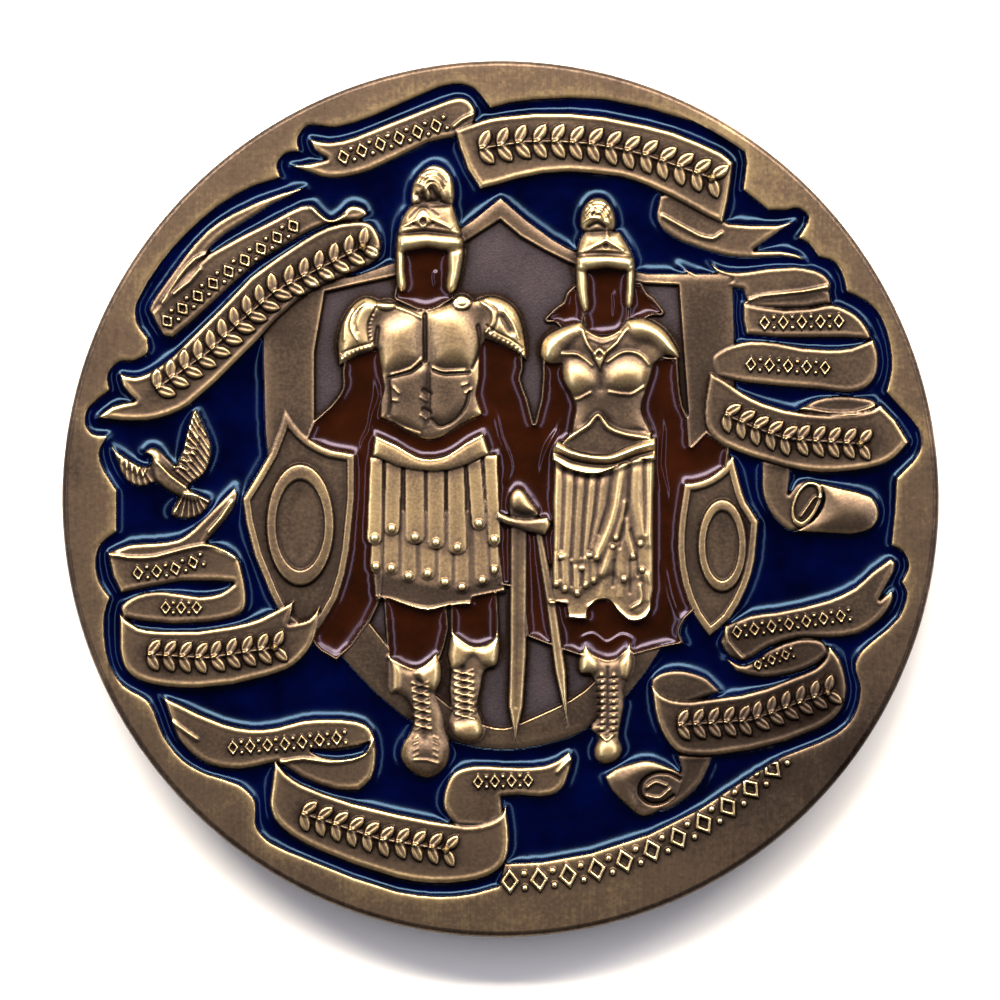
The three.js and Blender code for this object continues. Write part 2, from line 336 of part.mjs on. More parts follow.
const handShieldReliefs = HAND_SHIELDS.flatMap(({ edge, boss }) => [
  relief(edge, HAND_SHIELD_TOP),
  relief(ellipse(...boss), HAND_SHIELD_RING_TOP),
]);
const overlays = [
  ...FIGURES, ...HELMETS, ...SWORDS, ...handShieldReliefs, ...RIBBONS, DOVE,
];
const skinPools = Object.values(SKIN_CELLS);
const skinWalls = skinPools.map((edge) => relief(grow(edge, CAPE_EDGE_WIDTH), CAPE_EDGE_TOP));
const capeWalls = CAPES.map(({ edge }) => relief(edge, CAPE_EDGE_TOP));
const poolWalls = [...capeWalls, ...skinWalls];
const brownPools = [...CAPES.map(({ edge }) => grow(edge, -CAPE_EDGE_WIDTH)), ...skinPools];

function coinBody() {
  let body = blank().subtract(prism(FIELD, FIELD_FLOOR, RIM_TOP + 1));
  body = body.add(prism(GREAT_SHIELD, RELIEF_ROOT, SHIELD_BORDER_TOP));
  body = body.subtract(prism(GREAT_SHIELD_FIELD, SHIELD_FIELD_TOP, HELMET_TOP));
  body = body.add(together(poolWalls));
  for (const pool of brownPools) {
    body = body.subtract(prism(pool, CAPE_FLOOR, HELMET_TOP));
  }
  body = body.add(together(overlays));
  const reverseField = ellipse(0, 0, REVERSE_RIM_INNER, REVERSE_RIM_INNER, ROUND_STEPS);
  body = body.subtract(prism(reverseField, -1, REVERSE_DEPTH));
  const reverseShield = GREAT_SHIELD.map((point) => point.clone().multiplyScalar(REVERSE_SHIELD_SCALE));
  return body.add(prism(reverseShield, REVERSE_SHIELD_DROP, RELIEF_ROOT));
}

// What is left of the blue field once every piece of metal that stands in it is cut away.
function blueCells() {
  const walls = [relief(GREAT_SHIELD, SHIELD_BORDER_TOP), ...poolWalls, ...overlays];
  const pool = prism(grow(FIELD, -ENAMEL_GAP), FIELD_FLOOR + ENAMEL_GAP, BLUE_TOP);
  return pool.subtract(together(walls, ENAMEL_GAP)).decompose();
}

function brownCells(outlinePoints) {
  const pool = prism(grow(outlinePoints, -ENAMEL_GAP), CAPE_FLOOR + ENAMEL_GAP, BROWN_TOP);
  return pool.subtract(together(overlays, ENAMEL_GAP)).decompose();
}

function mesh(name, shape, look) {
  const { vertProperties, triVerts, numProp } = shape.getMesh();
  const geometry = new THREE.BufferGeometry();
  const positions = new Float32Array(vertProperties.length / numProp * 3);
  for (let i = 0; i < positions.length / 3; i += 1) {
    positions.set(vertProperties.subarray(i * numProp, i * numProp + 3), i * 3);
  }
  geometry.setAttribute('position', new THREE.BufferAttribute(positions, 3));
  geometry.setIndex(new THREE.BufferAttribute(Uint32Array.from(triVerts), 1));
  geometry.computeVertexNormals();
  const piece = new THREE.Mesh(geometry, new THREE.MeshStandardMaterial(look));
  piece.name = name;
  return piece;
}

const coin = new THREE.Group();
coin.add(mesh('coin_body', coinBody(), BRONZE));

// Names go to the cells of a pool from the largest to the smallest. Specks get no enamel.
function addCells(cells, names, look) {
  const largestFirst = cells.sort((a, b) => b.volume() - a.volume());
  names.forEach((name, i) => coin.add(mesh(name, largestFirst[i], look)));
}

addCells(blueCells(), BLUE_NAMES, BLUE);
for (const { names, edge } of CAPES) {
  addCells(brownCells(grow(edge, -CAPE_EDGE_WIDTH)), names, BROWN);
}
for (const [name, edge] of Object.entries(SKIN_CELLS)) {
  addCells(brownCells(edge), [name], BROWN);
}

export default coin;
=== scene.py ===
# %% [markdown]
# # An antique bronze challenge coin with soft enamel
# A coin like this is struck, not assembled from bars and plates. A steel die squeezes the whole
# picture out of one blank, the blank is plated and darkened, its high parts are rubbed bright
# again, and enamel is poured into the recesses. The natural way to model it is the way the die
# is made: as heights over a flat sheet, raised and cut with a few tools. Polygons dragged by
# hand could not keep forty overlapping reliefs crisp, and a displacement texture would leave
# nothing in the mesh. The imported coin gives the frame, and every size below is in millimetres.

import math

import bpy
import numpy as np
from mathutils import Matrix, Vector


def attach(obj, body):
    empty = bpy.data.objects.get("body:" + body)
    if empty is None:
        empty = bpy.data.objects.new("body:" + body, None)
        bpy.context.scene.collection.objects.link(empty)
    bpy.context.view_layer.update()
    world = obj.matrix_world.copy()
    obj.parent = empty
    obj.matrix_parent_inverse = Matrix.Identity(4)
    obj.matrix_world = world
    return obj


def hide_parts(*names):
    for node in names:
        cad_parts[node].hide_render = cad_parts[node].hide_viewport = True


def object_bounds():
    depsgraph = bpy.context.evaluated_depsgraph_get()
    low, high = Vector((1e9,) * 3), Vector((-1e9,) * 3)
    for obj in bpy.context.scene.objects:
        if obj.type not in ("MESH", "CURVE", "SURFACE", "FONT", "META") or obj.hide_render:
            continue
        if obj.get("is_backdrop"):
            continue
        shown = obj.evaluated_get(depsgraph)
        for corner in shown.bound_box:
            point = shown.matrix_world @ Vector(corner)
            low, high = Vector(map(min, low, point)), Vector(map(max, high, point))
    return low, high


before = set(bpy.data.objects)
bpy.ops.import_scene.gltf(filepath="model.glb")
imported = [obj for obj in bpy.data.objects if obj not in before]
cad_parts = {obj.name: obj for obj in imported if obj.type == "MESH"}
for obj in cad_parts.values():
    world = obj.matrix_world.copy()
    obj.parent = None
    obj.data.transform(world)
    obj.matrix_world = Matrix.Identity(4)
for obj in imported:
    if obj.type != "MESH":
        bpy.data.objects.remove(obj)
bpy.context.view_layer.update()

# %% [markdown]
# ## Heights that the coin is struck to
# The enamel lies below the metal that walls it in, so the order of these heights is the order
# in which the pieces catch the light: enamel, shield field, ribbons, then the two figures.

# %% Heights of the relief
COIN_RADIUS = 25.4
RIM_TOP = 3.4
FIELD_FLOOR = 2.7
BLUE_LEVEL = 2.95
BROWN_LEVEL = 3.06
SHIELD_FIELD = 3.15
SHIELD_BORDER = 3.36
THIN_WALL = 3.42
SKIN_WALL = 3.34
BACK_FOLD = 3.36
SMALL_BAND = 3.44
LARGE_BAND = 3.54
HAND_SHIELD = 3.44
print("coin", 2 * COIN_RADIUS, "mm across, enamel", BLUE_LEVEL, "mm and rim", RIM_TOP, "mm high")

# %% [markdown]
# ## Drawing an outline
# A die sinker draws each outline before cutting it. Blender's own curve objects could hold the
# outlines, but the die below needs bare points. So each shape is a short text of points: a
# smooth curve runs through them, and a point with ! is a sharp corner. Cubic Hermite pieces do
# this with few points, and each piece gets more steps the more it turns, so a long gentle edge
# costs no more than a small tight one.

# %% Curves from a few points
def curve(text, closed=True, most_turn=0.15):
    corners = ["!" in item for item in text.split(",")]
    knots = np.array([item.replace("!", " ").split() for item in text.split(",")], float)
    if not closed:
        corners[0] = corners[-1] = True
    count = len(knots)
    traced = []

    def direction(i, chord):
        if corners[i]:
            return chord
        before, after = knots[i - 1], knots[(i + 1) % count]
        span = np.hypot(*(before - knots[i])) + np.hypot(*(after - knots[i]))
        return (after - before) * np.hypot(*chord) / span

    for i in range(count if closed else count - 1):
        j = (i + 1) % count
        chord = knots[j] - knots[i]
        leave, arrive = direction(i, chord), direction(j, chord)
        angles = [math.atan2(v[1], v[0]) for v in (leave, chord, arrive)]
        turns = [abs((b - a + math.pi) % math.tau - math.pi) for a, b in zip(angles, angles[1:])]
        steps = max(1, math.ceil(sum(turns) / most_turn))
        for t in np.arange(steps) / steps:
            traced.append(
                (2 * t**3 - 3 * t**2 + 1) * knots[i]
                + (t**3 - 2 * t**2 + t) * leave
                + (3 * t**2 - 2 * t**3) * knots[j]
                + (t**3 - t**2) * arrive
            )
    if not closed:
        traced.append(knots[-1])
    return np.array(traced)


def oval(x, y, half_width, half_height, steps=96):
    turn = np.arange(steps) * math.tau / steps
    return np.stack([x + half_width * np.cos(turn), y + half_height * np.sin(turn)], axis=1)


print("a round outline of 4 points becomes", len(curve("1 0, 0 1, -1 0, 0 -1")), "short sides")

# %% [markdown]
# ## The die
# The die is a square sheet of heights with a point every 0.06 mm, about the finest mark that
# shows at this size. Its width is a whole number of 16 steps, because it is cut into tiles of
# up to 16 steps later. Every tool measures how far each point lies from an outline and turns that
# distance into height. Real struck walls lean a little, so that the coin leaves the die, and
# the tools give every wall that draft. `owner` remembers which piece each point belongs to.

# %% Distances from an outline
def ease(value):
    value = np.clip(value, 0, 1)
    return value * value * (3 - 2 * value)


SHEET_WIDTH = 49.92


class Die:
    def __init__(self, pitch, level, name):
        cells = round(SHEET_WIDTH / pitch)
        self.pitch = pitch
        self.axis = (np.arange(cells + 1) - cells / 2) * pitch
        self.x, self.y = np.meshgrid(self.axis, self.axis)
        self.height = np.full(self.x.shape, float(level))
        self.names = [name]
        self.owner = np.zeros(self.x.shape, int)

    def window(self, points, reach):
        low = np.floor((points.min(0) - reach - self.axis[0]) / self.pitch).astype(int)
        high = np.ceil((points.max(0) + reach - self.axis[0]) / self.pitch).astype(int) + 1
        low, high = low.clip(0, self.axis.size), high.clip(0, self.axis.size)
        return slice(low[1], high[1]), slice(low[0], high[0])

    def away(self, points, reach, closed=True):
        spot = self.window(points, reach)
        gap = np.full(self.x[spot].shape, float(reach))
        starts, ends = (points, np.roll(points, -1, axis=0)) if closed else (points[:-1], points[1:])
        for start, end in zip(starts, ends):
            near = self.window(np.array([start, end]), reach)
            x, y = self.x[near] - start[0], self.y[near] - start[1]
            side = end - start
            t = ((x * side[0] + y * side[1]) / max(side @ side, 1e-12)).clip(0, 1)
            part = tuple(slice(n.start - s.start, n.stop - s.start) for n, s in zip(near, spot))
            np.minimum(gap[part], np.hypot(x - t * side[0], y - t * side[1]), out=gap[part])
        return spot, gap

    def depth(self, points, reach=1.0):
        spot, gap = self.away(points, reach)
        rows, columns = self.axis[spot[0]], self.axis[spot[1]]
        flips = np.zeros((rows.size, columns.size + 1), int)
        for (x1, y1), (x2, y2) in zip(points, np.roll(points, -1, axis=0)):
            crossed = np.nonzero((rows >= min(y1, y2)) & (rows < max(y1, y2)))[0]
            if crossed.size:
                where = x1 + (rows[crossed] - y1) * (x2 - x1) / (y2 - y1)
                np.add.at(flips, (crossed, np.searchsorted(columns, where)), 1)
        inside = np.cumsum(flips[:, :-1], axis=1) % 2 == 1
        return spot, np.where(inside, gap, -gap)

    def claim(self, spot, touched, name):
        if name not in self.names:
            self.names.append(name)
        self.owner[spot][touched] = self.names.index(name)

    def report(self, name):
        own = self.owner == self.names.index(name)
        area, top = own.sum() * self.pitch**2, self.height[own].max()
        print(f"{name}: {area:.0f} mm2, highest {top:.2f} mm")


print("the die is", SHEET_WIDTH, "mm wide and starts as one flat sheet")

# %% [markdown]
# ## The die sinker's tools
# Sculpting by brush would be quick, but no two strokes would match. Five tools with plain sizes
# do the same work and can be repeated. A slab is a flat relief with a rolled edge, and `dish`
# lets its middle sink a little below the roll, as it does on the ribbons. A sink cuts a floor. A
# mound swells what is already there. A line is a ridge, or with a negative rise a groove. A stud
# is a rivet head or a bead.

# %% Slab, sink, mound, line and stud
def softened(field, passes):
    field = field.copy()
    for _ in range(passes):
        field[1:-1] = 0.25 * field[:-2] + 0.5 * field[1:-1] + 0.25 * field[2:]
        field[:, 1:-1] = 0.25 * field[:, :-2] + 0.5 * field[:, 1:-1] + 0.25 * field[:, 2:]
    return field


def slab(die, name, points, top, roll=0.25, drop=0.1, dish=0.0, grow=0.0, draft=0.18):
    points = curve(points) if isinstance(points, str) else points
    spot, depth = die.depth(points, reach=max(1.0, roll))
    depth = depth + grow
    wall = ease((depth + 0.6 * draft) / draft)
    crown = -drop * (1 - (depth / roll).clip(0, 1)) ** 2
    hollow = -dish * ease((depth - 0.2) / 0.3)
    shape = FIELD_FLOOR + (top + crown + hollow - FIELD_FLOOR) * wall
    touched = shape > die.height[spot] + 1e-6
    die.height[spot][touched] = shape[touched]
    die.claim(spot, touched & (wall > 0.3), name)


def sink(die, name, points, floor, inset=0.0, draft=0.16):
    spot, depth = die.depth(curve(points) if isinstance(points, str) else points)
    depth = depth - inset
    wall = ease((depth + 0.4 * draft) / draft)
    before = die.height[spot]
    shape = before + (floor - before) * wall
    touched = shape < before - 1e-6
    die.height[spot][touched] = shape[touched]
    if name:
        die.claim(spot, touched & (wall > 0.5), name)


def mound(die, name, points, rise, reach=0.6, power=2.0):
    points = curve(points) if isinstance(points, str) else points
    spot, depth = die.depth(points, reach=reach)
    swell = rise * (1 - (1 - (depth / reach).clip(0, 1)) ** power)
    die.claim(spot, swell > 0, name)
    die.height[spot] += softened(swell, int(7 * reach**2))


def line(die, points, width, rise, taper=False):
    points = curve(points, closed=False) if isinstance(points, str) else points
    spot, gap = die.away(points, 1.6 * width, closed=False)
    bump = np.exp(-((gap / (0.5 * width)) ** 2) * 1.4)
    if taper:
        middle, half = points.mean(0), np.hypot(*(points[-1] - points[0])) / 2
        far = np.hypot(die.x[spot] - middle[0], die.y[spot] - middle[1]) / max(half, 0.1)
        bump *= 1 - ease((far - 0.5) / 0.6)
    die.height[spot] += rise * bump


def stud(die, x, y, radius, rise, stretch=1.0):
    spot = die.window(np.array([[x, y]]), radius * max(1, stretch) + 0.2)
    far = np.hypot(die.x[spot] - x, (die.y[spot] - y) / stretch) / radius
    die.height[spot] += rise * np.sqrt((1 - far**2).clip(0, 1))


trial = Die(0.12, 0, "trial")
stud(trial, 0, 0, 1.0, 0.5)
print("a trial stud stands", float(trial.height.max()), "mm high")

# %% [markdown]
# ## Ornament rows
# The ribbons of such a coin usually carry raised wording. This one has plain ornament instead:
# laurel leaves in pairs on the large bands, and lozenges with beads on the small ones. An array
# and a curve modifier could lay such a row as loose pieces, but here they are struck from the
# same metal. Each row is pressed at even steps along a line that follows its own ribbon.

# %% Leaves, lozenges and rows of them
def turned(die, x, y, angle, reach):
    spot = die.window(np.array([[x, y]]), reach)
    dx, dy = die.x[spot] - x, die.y[spot] - y
    along = dx * math.cos(angle) + dy * math.sin(angle)
    across = dy * math.cos(angle) - dx * math.sin(angle)
    return spot, along, across


def leaf(die, x, y, angle, length, width, rise):
    spot, along, across = turned(die, x, y, angle, 0.6 * length)
    half = 0.5 * width * (1 - (2 * along / length) ** 2).clip(1e-6, 1) ** 0.8
    body = (1 - (np.abs(across) / half) ** 2).clip(0, 1) ** 0.55
    vein = 0.3 * np.exp(-((across / (0.16 * width)) ** 2)) * (body > 0)
    die.height[spot] += rise * (body - vein)


def lozenge(die, x, y, angle, wide, high, rise):
    spot, along, across = turned(die, x, y, angle, 0.6 * max(wide, high))
    ring = np.abs(along) / (0.5 * wide) + np.abs(across) / (0.5 * high)
    die.height[spot] += rise * (1 - ((ring - 0.72) / 0.28) ** 2).clip(0, 1) ** 0.55


def stations(points, spacing):
    lengths = np.hypot(*np.diff(points, axis=0).T)
    reached = np.concatenate([[0], np.cumsum(lengths)])
    count = max(2, round(reached[-1] / spacing) + 1)
    for s in np.linspace(0, reached[-1], count):
        at = [np.interp(s, reached, points[:, k]) for k in (0, 1)]
        ahead = [np.interp(s + 0.2, reached, points[:, k]) for k in (0, 1)]
        behind = [np.interp(s - 0.2, reached, points[:, k]) for k in (0, 1)]
        yield at[0], at[1], math.atan2(ahead[1] - behind[1], ahead[0] - behind[0])


def laurel_row(die, path, high, rise=0.26):
    points = curve(path, closed=False)
    line(die, points, 0.22, 0.55 * rise)
    reach = 0.3 * high
    for x, y, angle in stations(points, 0.52 * high):
        for tilt in (angle - 0.95, angle + 0.95):
            leaf_x, leaf_y = x + reach * math.cos(tilt), y + reach * math.sin(tilt)
            leaf(die, leaf_x, leaf_y, tilt, 0.64 * high, 0.4 * high, rise)
    stud(die, *points[-1], 0.13 * high, rise)


def lozenge_row(die, path, high, rise=0.2):
    points = curve(path, closed=False)
    for i, (x, y, angle) in enumerate(stations(points, 0.52 * high)):
        if i % 2 == 0:
            lozenge(die, x, y, angle, 0.74 * high, 0.98 * high, rise)
        else:
            for side in (-1, 1):
                up = 0.3 * high * side
                stud(die, x - up * math.sin(angle), y + up * math.cos(angle), 0.14 * high, rise)


ten_mm = curve("0 0, 10 0", closed=False)
print("a row 10 mm long at 1 mm has", len(list(stations(ten_mm, 1.0))), "places")

# %% [markdown]
# ## Rim, recess and great shield
# Work starts from a flat sheet at rim height. The blue field is sunk into it, and the big shield
# stands back up in the field with its own sandblasted floor. Sinking one outline keeps the rim
# and the ribbons that touch it in one piece, which a ring with bars laid across would not.

# %% Rim land and blue field
FINE_PITCH = 0.06
obverse = Die(FINE_PITCH, RIM_TOP, "rim_land")
FIELD = """-2.4 24, -1.5 23.7, -0.9 23, -0.6 22.6!, 0.5 22.9, 2 23.1, 4 23.2, 6 23.1, 8.5 22.6,
11.2 21.8, 13.2 20.9, 14 20.3, 14.2 19.4, 14 17.9!, 15.5 16.7!, 16.5 16.7, 17.2 16.8, 17.8 16.3,
17.2 15.1!, 17.8 14.8, 18.4 14!, 19.3 13.7, 19.8 12.9, 20 12!, 21.2 11.4, 22 10.5, 22.5 9, 22.6 7.5,
22.3 6.2!, 23.1 5.3, 24.2 4, 24.3 3, 23.8 2.1, 22.9 1.2!, 22.8 -0.6, 22.6 -2.7!, 23.3 -3.1, 23.6 -3.9,
23.2 -4.8!, 23.5 -5.5, 23 -6.9, 21.8 -8, 20.9 -8.8, 20.5 -9.7, 20.8 -11, 20.4 -12.6, 19.4 -13.6,
17.6 -14.4, 16.3 -14.9!, 14.2 -16.2, 11.6 -17.9, 8.6 -19.4, 5.2 -20.5, 2.4 -21, 0.2 -21.1!, -0.1 -22.4!,
-1.5 -22.8, -3.5 -23, -6 -22.7, -8.5 -21.9, -11.5 -20.7, -13.3 -19.9, -14.1 -19, -14.2 -17.5,
-15.2 -16.5, -17 -15.9, -18.4 -15.1, -19.5 -13.7, -20 -12.4, -20.5 -11.6, -21.8 -10.8, -22.6 -9.6,
-22.9 -8, -22.9 -6.7, -22.6 -5.7!, -23.2 -4.8, -23.4 -3.6, -23.1 -2.6, -22.2 -1.9!, -22.2 0.5!,
-22.9 1.6, -23.2 2.7, -22.7 3.7!, -23.6 3.8, -24 4.4, -23.8 5.3, -22.6 6.3!, -22.7 7.2, -22.1 7.9,
-21.2 8, -20.4 8.5, -20.4 9.3!, -21 10.2, -21 11.4, -19.6 13.7, -18.3 15.2, -16.4 16.9, -14.3 18.1,
-12.7 18.6!, -12.9 19.4, -12.4 20, -11.6 20.1!, -11.7 20.9, -11.1 21.6, -9.5 21.5, -7.5 22.1, -5 23.2,
-3.6 23.8"""
spot, field_depth = obverse.depth(curve(FIELD), reach=0.5)
obverse.height[spot] -= 0.05 * np.exp(-((field_depth / 0.14) ** 2))
sink(obverse, None, FIELD, FIELD_FLOOR)
blue_pool = np.zeros(obverse.x.shape, bool)
blue_pool[spot] = field_depth > -0.1
print("blue field", round(blue_pool.sum() * FINE_PITCH**2), "mm2")

# %% The great shield
GREAT_SHIELD = """0 17.5!, 1.5 16.2, 3 15.1, 4.5 14.3, 6.5 13.6, 8.5 13.1, 13.5 13.1!, 13.6 10, 13.6 6,
13.3 2, 12.3 -2, 11 -5.5, 9.4 -8.6, 7.3 -11.5, 4.8 -13.5, 2.5 -14.3, 0 -14.6, -2.8 -14.1, -5.7 -12.6,
-8.5 -10, -10.8 -7, -12.5 -3, -13.4 1, -13.7 4, -13.8 8, -13.8 12!, -10.5 12.8, -8.5 12.95,
-6.3 13.7, -4 14.6, -1.6 16.2"""
GREAT_SHIELD_FIELD = """0 16.2!, 1.2 15.2, 2.6 14.4, 4 13.7, 6 13, 8.3 12.5, 10.35 12.4!, 10.6 9, 10.9 5,
10.6 0, 9.3 -4.5, 7.5 -8.3, 4.9 -11.1, 3.2 -12.1, 1.4 -12.9, 0.2 -13.3, -1.2 -13, -3 -12, -5 -10.2,
-7.6 -7.2, -9.5 -3.5, -10.5 0, -10.8 4, -10.8 8.5, -10.2 12!, -8.5 12.4, -6.2 12.9, -4 13.8, -2.2 14.8"""
slab(obverse, "great_shield_border", GREAT_SHIELD, SHIELD_BORDER, roll=0.5, drop=0.09)
sink(obverse, "great_shield_field", GREAT_SHIELD_FIELD, SHIELD_FIELD)
line(obverse, curve(GREAT_SHIELD_FIELD)[:-1], 0.2, 0.05)
obverse.report("great_shield_border")
obverse.report("great_shield_field")

# %% [markdown]
# ## Capes and skin
# Thin metal walls ring each brown pool and keep the colours apart. Each wall could be swept
# along its outline, but then crossings would have to be cleaned by hand. Here solid slabs are
# raised first and the pools are sunk into them, so the walls are simply what is left.

# %% Walls and brown pools
CAPES = [
    """-9 8.6!, -9.2 7.4, -9.2 6.4, -9.9 5.4, -10.9 4.5!, -11.6 2.5, -11.9 -2, -11.5 -6, -10.8 -8.5,
        -9.5 -9.4!, -8.6 -8.6, -7.5 -7.1!, -6.8 -5.4, -6.6 0, -6.4 5, -6.8 9!""",
    """-1.6 9.6!, 1.25 8.9!, 1.35 7.6, 1.2 6.9, 1.6 5.8, 1.95 4.4!, 2.3 5.8, 2.4 7, 2.4 8.2!,
        4.2 8!, 4.6 5, 4.2 2.4, 3.6 -2, 3.6 -5, 5.5 -6!, 5.5 -9.2!, 4.5 -9.1, 3.6 -8.8, 2.4 -8.35,
        1.5 -8!, 1.3 -6, 0.9 -5.2!, -0.2 -5!, -0.5 -2.2, -0.8 -1, -0.9 3, -1.6 6""",
    """8.2 8.4!, 10.3 8.2!, 10.4 6.6, 10.6 5.4, 10.95 4.7!, 11.05 3.1!, 11.9 4!, 13.3 3!, 12.6 -2,
        11.6 -6, 10.7 -7!, 10.4 -7.7, 10.7 -8.4!, 9.4 -8.65, 7.7 -9.1!, 7.1 -8.6!, 7.2 -6!,
        8.1 -5.6, 8.1 0, 7.9 5""",
]
SKIN = [
    """-5.9 14.7!, -2.8 14.7!, -2.8 13.2, -2.9 12.2, -2.9 11.7!, -4.3 11.05, -6 11.7!, -5.9 12.3,
        -5.9 13.3""",
    "4.9 13.4!, 7.35 13.5!, 7.3 12, 7.3 10.6, 6.8 9.7!, 5.9 9.5, 5.1 9.7!, 4.9 10.9, 4.9 12",
    """4.5 12.3!, 4 11.85, 3.8 11.3, 3.3 10.95, 2.75 10.4!, 3.2 10.4, 3.6 10.05!, 4.6 10.2!,
        4.7 11.2""",
    """7.6 12.4!, 8.05 12.35!, 8.35 11.8, 8.75 11.5, 9.3 10.8!, 8.8 10.8, 8.3 10.6, 7.5 10.2!,
        7.5 11.3""",
    "-6.6 -5.6!, -3.4 -5.9!, -3.2 -7.5, -3.7 -9.3!, -4.8 -10.1!, -6.3 -9.7!",
    "-2.7 -5.8!, -0.4 -5.3!, -0.3 -7, -0.3 -8.1!, -1.4 -8.8!, -2.7 -8.2!",
    "5.2 -6!, 6 -5.6!, 7 -6.2!, 7.6 -6.8!, 7.4 -8.6!, 6.3 -9.6!, 5 -9!",
    "-7.4 4.9!, -4.3 4.2!, -0.9 5.2!, -0.6 2.9!, -4.3 1.7, -7.6 3!",
]
WALL_WIDTH = 0.22
brown_pool = np.zeros(obverse.x.shape, bool)
for pool in CAPES:
    slab(obverse, "pool_walls", pool, THIN_WALL, roll=0.12, drop=0.06)
for pool in SKIN:
    slab(obverse, "pool_walls", pool, SKIN_WALL, roll=0.12, drop=0.04, grow=WALL_WIDTH)
for pools, inset in ((CAPES, WALL_WIDTH), (SKIN, 0.0)):
    for pool in pools:
        sink(obverse, None, pool, FIELD_FLOOR + 0.15, inset=inset)
        spot, depth = obverse.depth(curve(pool), reach=0.4)
        brown_pool[spot] |= depth > inset - 0.1
print("brown pools", round(brown_pool.sum() * FINE_PITCH**2), "mm2")

# %% [markdown]
# ## Ribbons
# Each banner is one strip that folds back on itself. A bent strip would suit a free banner, but
# a struck one has only its top, so it is made of bands: the ones that lie behind come first and
# lower, the large front bands last. The rolled edge catches the light along the upper side, and
# the dished middle keeps the dark finish.

# %% Banners at the top and upper left
def band(name, points, top=SMALL_BAND, dish=0.03):
    slab(obverse, name, points, top, roll=0.32, drop=0.15, dish=dish)


def fold(name, points):
    slab(obverse, name, points, BACK_FOLD, roll=0.3, drop=0.12, dish=0.02)


band("ribbon_1", """-11.1 20.9!, -9.9 20.7, -8.5 21, -6.5 21.8, -4.5 22.6, -3.2 23.1, -2.4 23.3,
    -1.8 23.1, -1.4 22.4, -1.6 21.6!, -2.7 20.9!, -4.2 20.6, -6 19.7, -7.5 19, -9 18.6, -10.3 18.6,
    -12.2 19.3!, -10.9 19.5, -10.1 19.7!, -10.8 20.2""")
fold("ribbon_1", """9.2 17.6!, 9 16.6, 9.1 16, 9.6 15.4, 10.6 14.8, 12 14.3, 13.2 14, 14.6 13.9,
    16.2 14, 17.7 13.8!, 17.2 14.2, 16.2 14.4, 14.7 14.4!, 15.8 15.2, 17.1 16.1!, 16 15.9,
    14.5 15.9, 13.2 16!, 12.4 16.5!, 10 17.8!""")
band("ribbon_1", """-2.7 21.4!, -1 22, 0 22.2, 2 22.4, 4 22.4, 6 22.2, 8.5 21.7, 10 21.3, 11.5 20.7,
    12.8 20.1, 13.5 19.5!, 13.4 18.5, 13.2 17.2, 12.9 15.9!, 12 16.3, 10 17.4, 8.5 18.1, 7 18.6,
    5.5 18.8, 4 18.9, 2.5 18.8, 1 18.5, 0 18.2, -1.2 17.9!, -1.9 19, -2.4 20.3""", LARGE_BAND, 0.04)
fold("ribbon_2", """-11.2 18.1!, -12.6 17.8, -14 17.3, -15.5 16.6, -17 15.6, -18.4 14, -19.7 12.2,
    -20.4 11, -20.1 10.5!, -19 11!, -17.8 13!, -16.8 14.5, -15.8 15.4, -14.5 16.2!, -13.3 17,
    -12.2 17.5""")
band("ribbon_2", """-20.3 10.8!, -19.6 9.5, -19 9.3!, -18 10.1, -17 11, -15.5 12.4, -14 13.7,
    -12 14.9, -10 15.9, -8.2 16.1!, -7.7 16.5, -8 16.9, -8.7 17, -9.3 16.5, -9.8 16.2, -10.3 16.5,
    -10.8 17, -11.6 17, -13 16.3, -15 15.3, -16.8 14.3, -18.3 13!, -19.6 11.6""")
band("ribbon_2", """-22.1 7.3!, -21.2 7.1, -20.3 7.4, -19 8.3, -17.5 9.8, -16 11.3, -14.5 12.9,
    -13 14, -11.5 15, -10 15.8, -8.5 16.1, -7.6 16, -7.1 15.4, -6.9 14.6, -7.2 13.8, -8.5 13.1,
    -10.4 12.3, -11.8 11.4, -13 10.3, -14 9.2, -15 8.2, -16.5 6.7, -18 5.4, -19.2 4.8, -20.5 4.5,
    -22 4.5, -23.4 4.7!, -22.5 5.4, -21.2 5.7!, -21.9 6.5""", LARGE_BAND, 0.04)
obverse.report("ribbon_1")
obverse.report("ribbon_2")

# %% Banners at the lower left
band("ribbon_3", """-15.4 0.7!, -15.2 0.2, -15.5 -0.7, -16.2 -1.6, -17 -2.5!, -16 -2.9, -15.2 -3.4,
    -14.9 -4.3, -14.7 -5.4, -14.8 -6.4, -15.5 -6.9, -17 -7.2, -19 -7.3, -21 -7.1, -21.9 -6.9!,
    -22 -6.2, -21 -5.5, -19.5 -5.3, -17.5 -5.6, -16.2 -5.4, -15.5 -4.9!, -16.4 -4.8, -18.5 -4.8,
    -20.5 -5.2, -22 -5.5!, -22.5 -4.5, -22.8 -3.1!, -21.5 -2.6, -20 -2.5, -18.7 -2.3, -17.8 -1.7,
    -16.7 -0.6""")
band("ribbon_3", """-22.1 -6.6!, -21 -7.4, -19.5 -7.6, -17.5 -7.6, -15.5 -7.3, -14 -6.9, -12.8 -6.3,
    -11.9 -5.8!, -12 -6.5, -12.2 -7.2!, -11.1 -6.9, -10.4 -6!, -10.5 -7.2, -10.9 -8.5, -12 -9.7,
    -13.5 -10.3, -15.5 -10.8, -17.5 -11, -19.5 -10.9, -21 -10.5, -21.8 -9.8, -22.1 -8.6""",
    LARGE_BAND, 0.04)
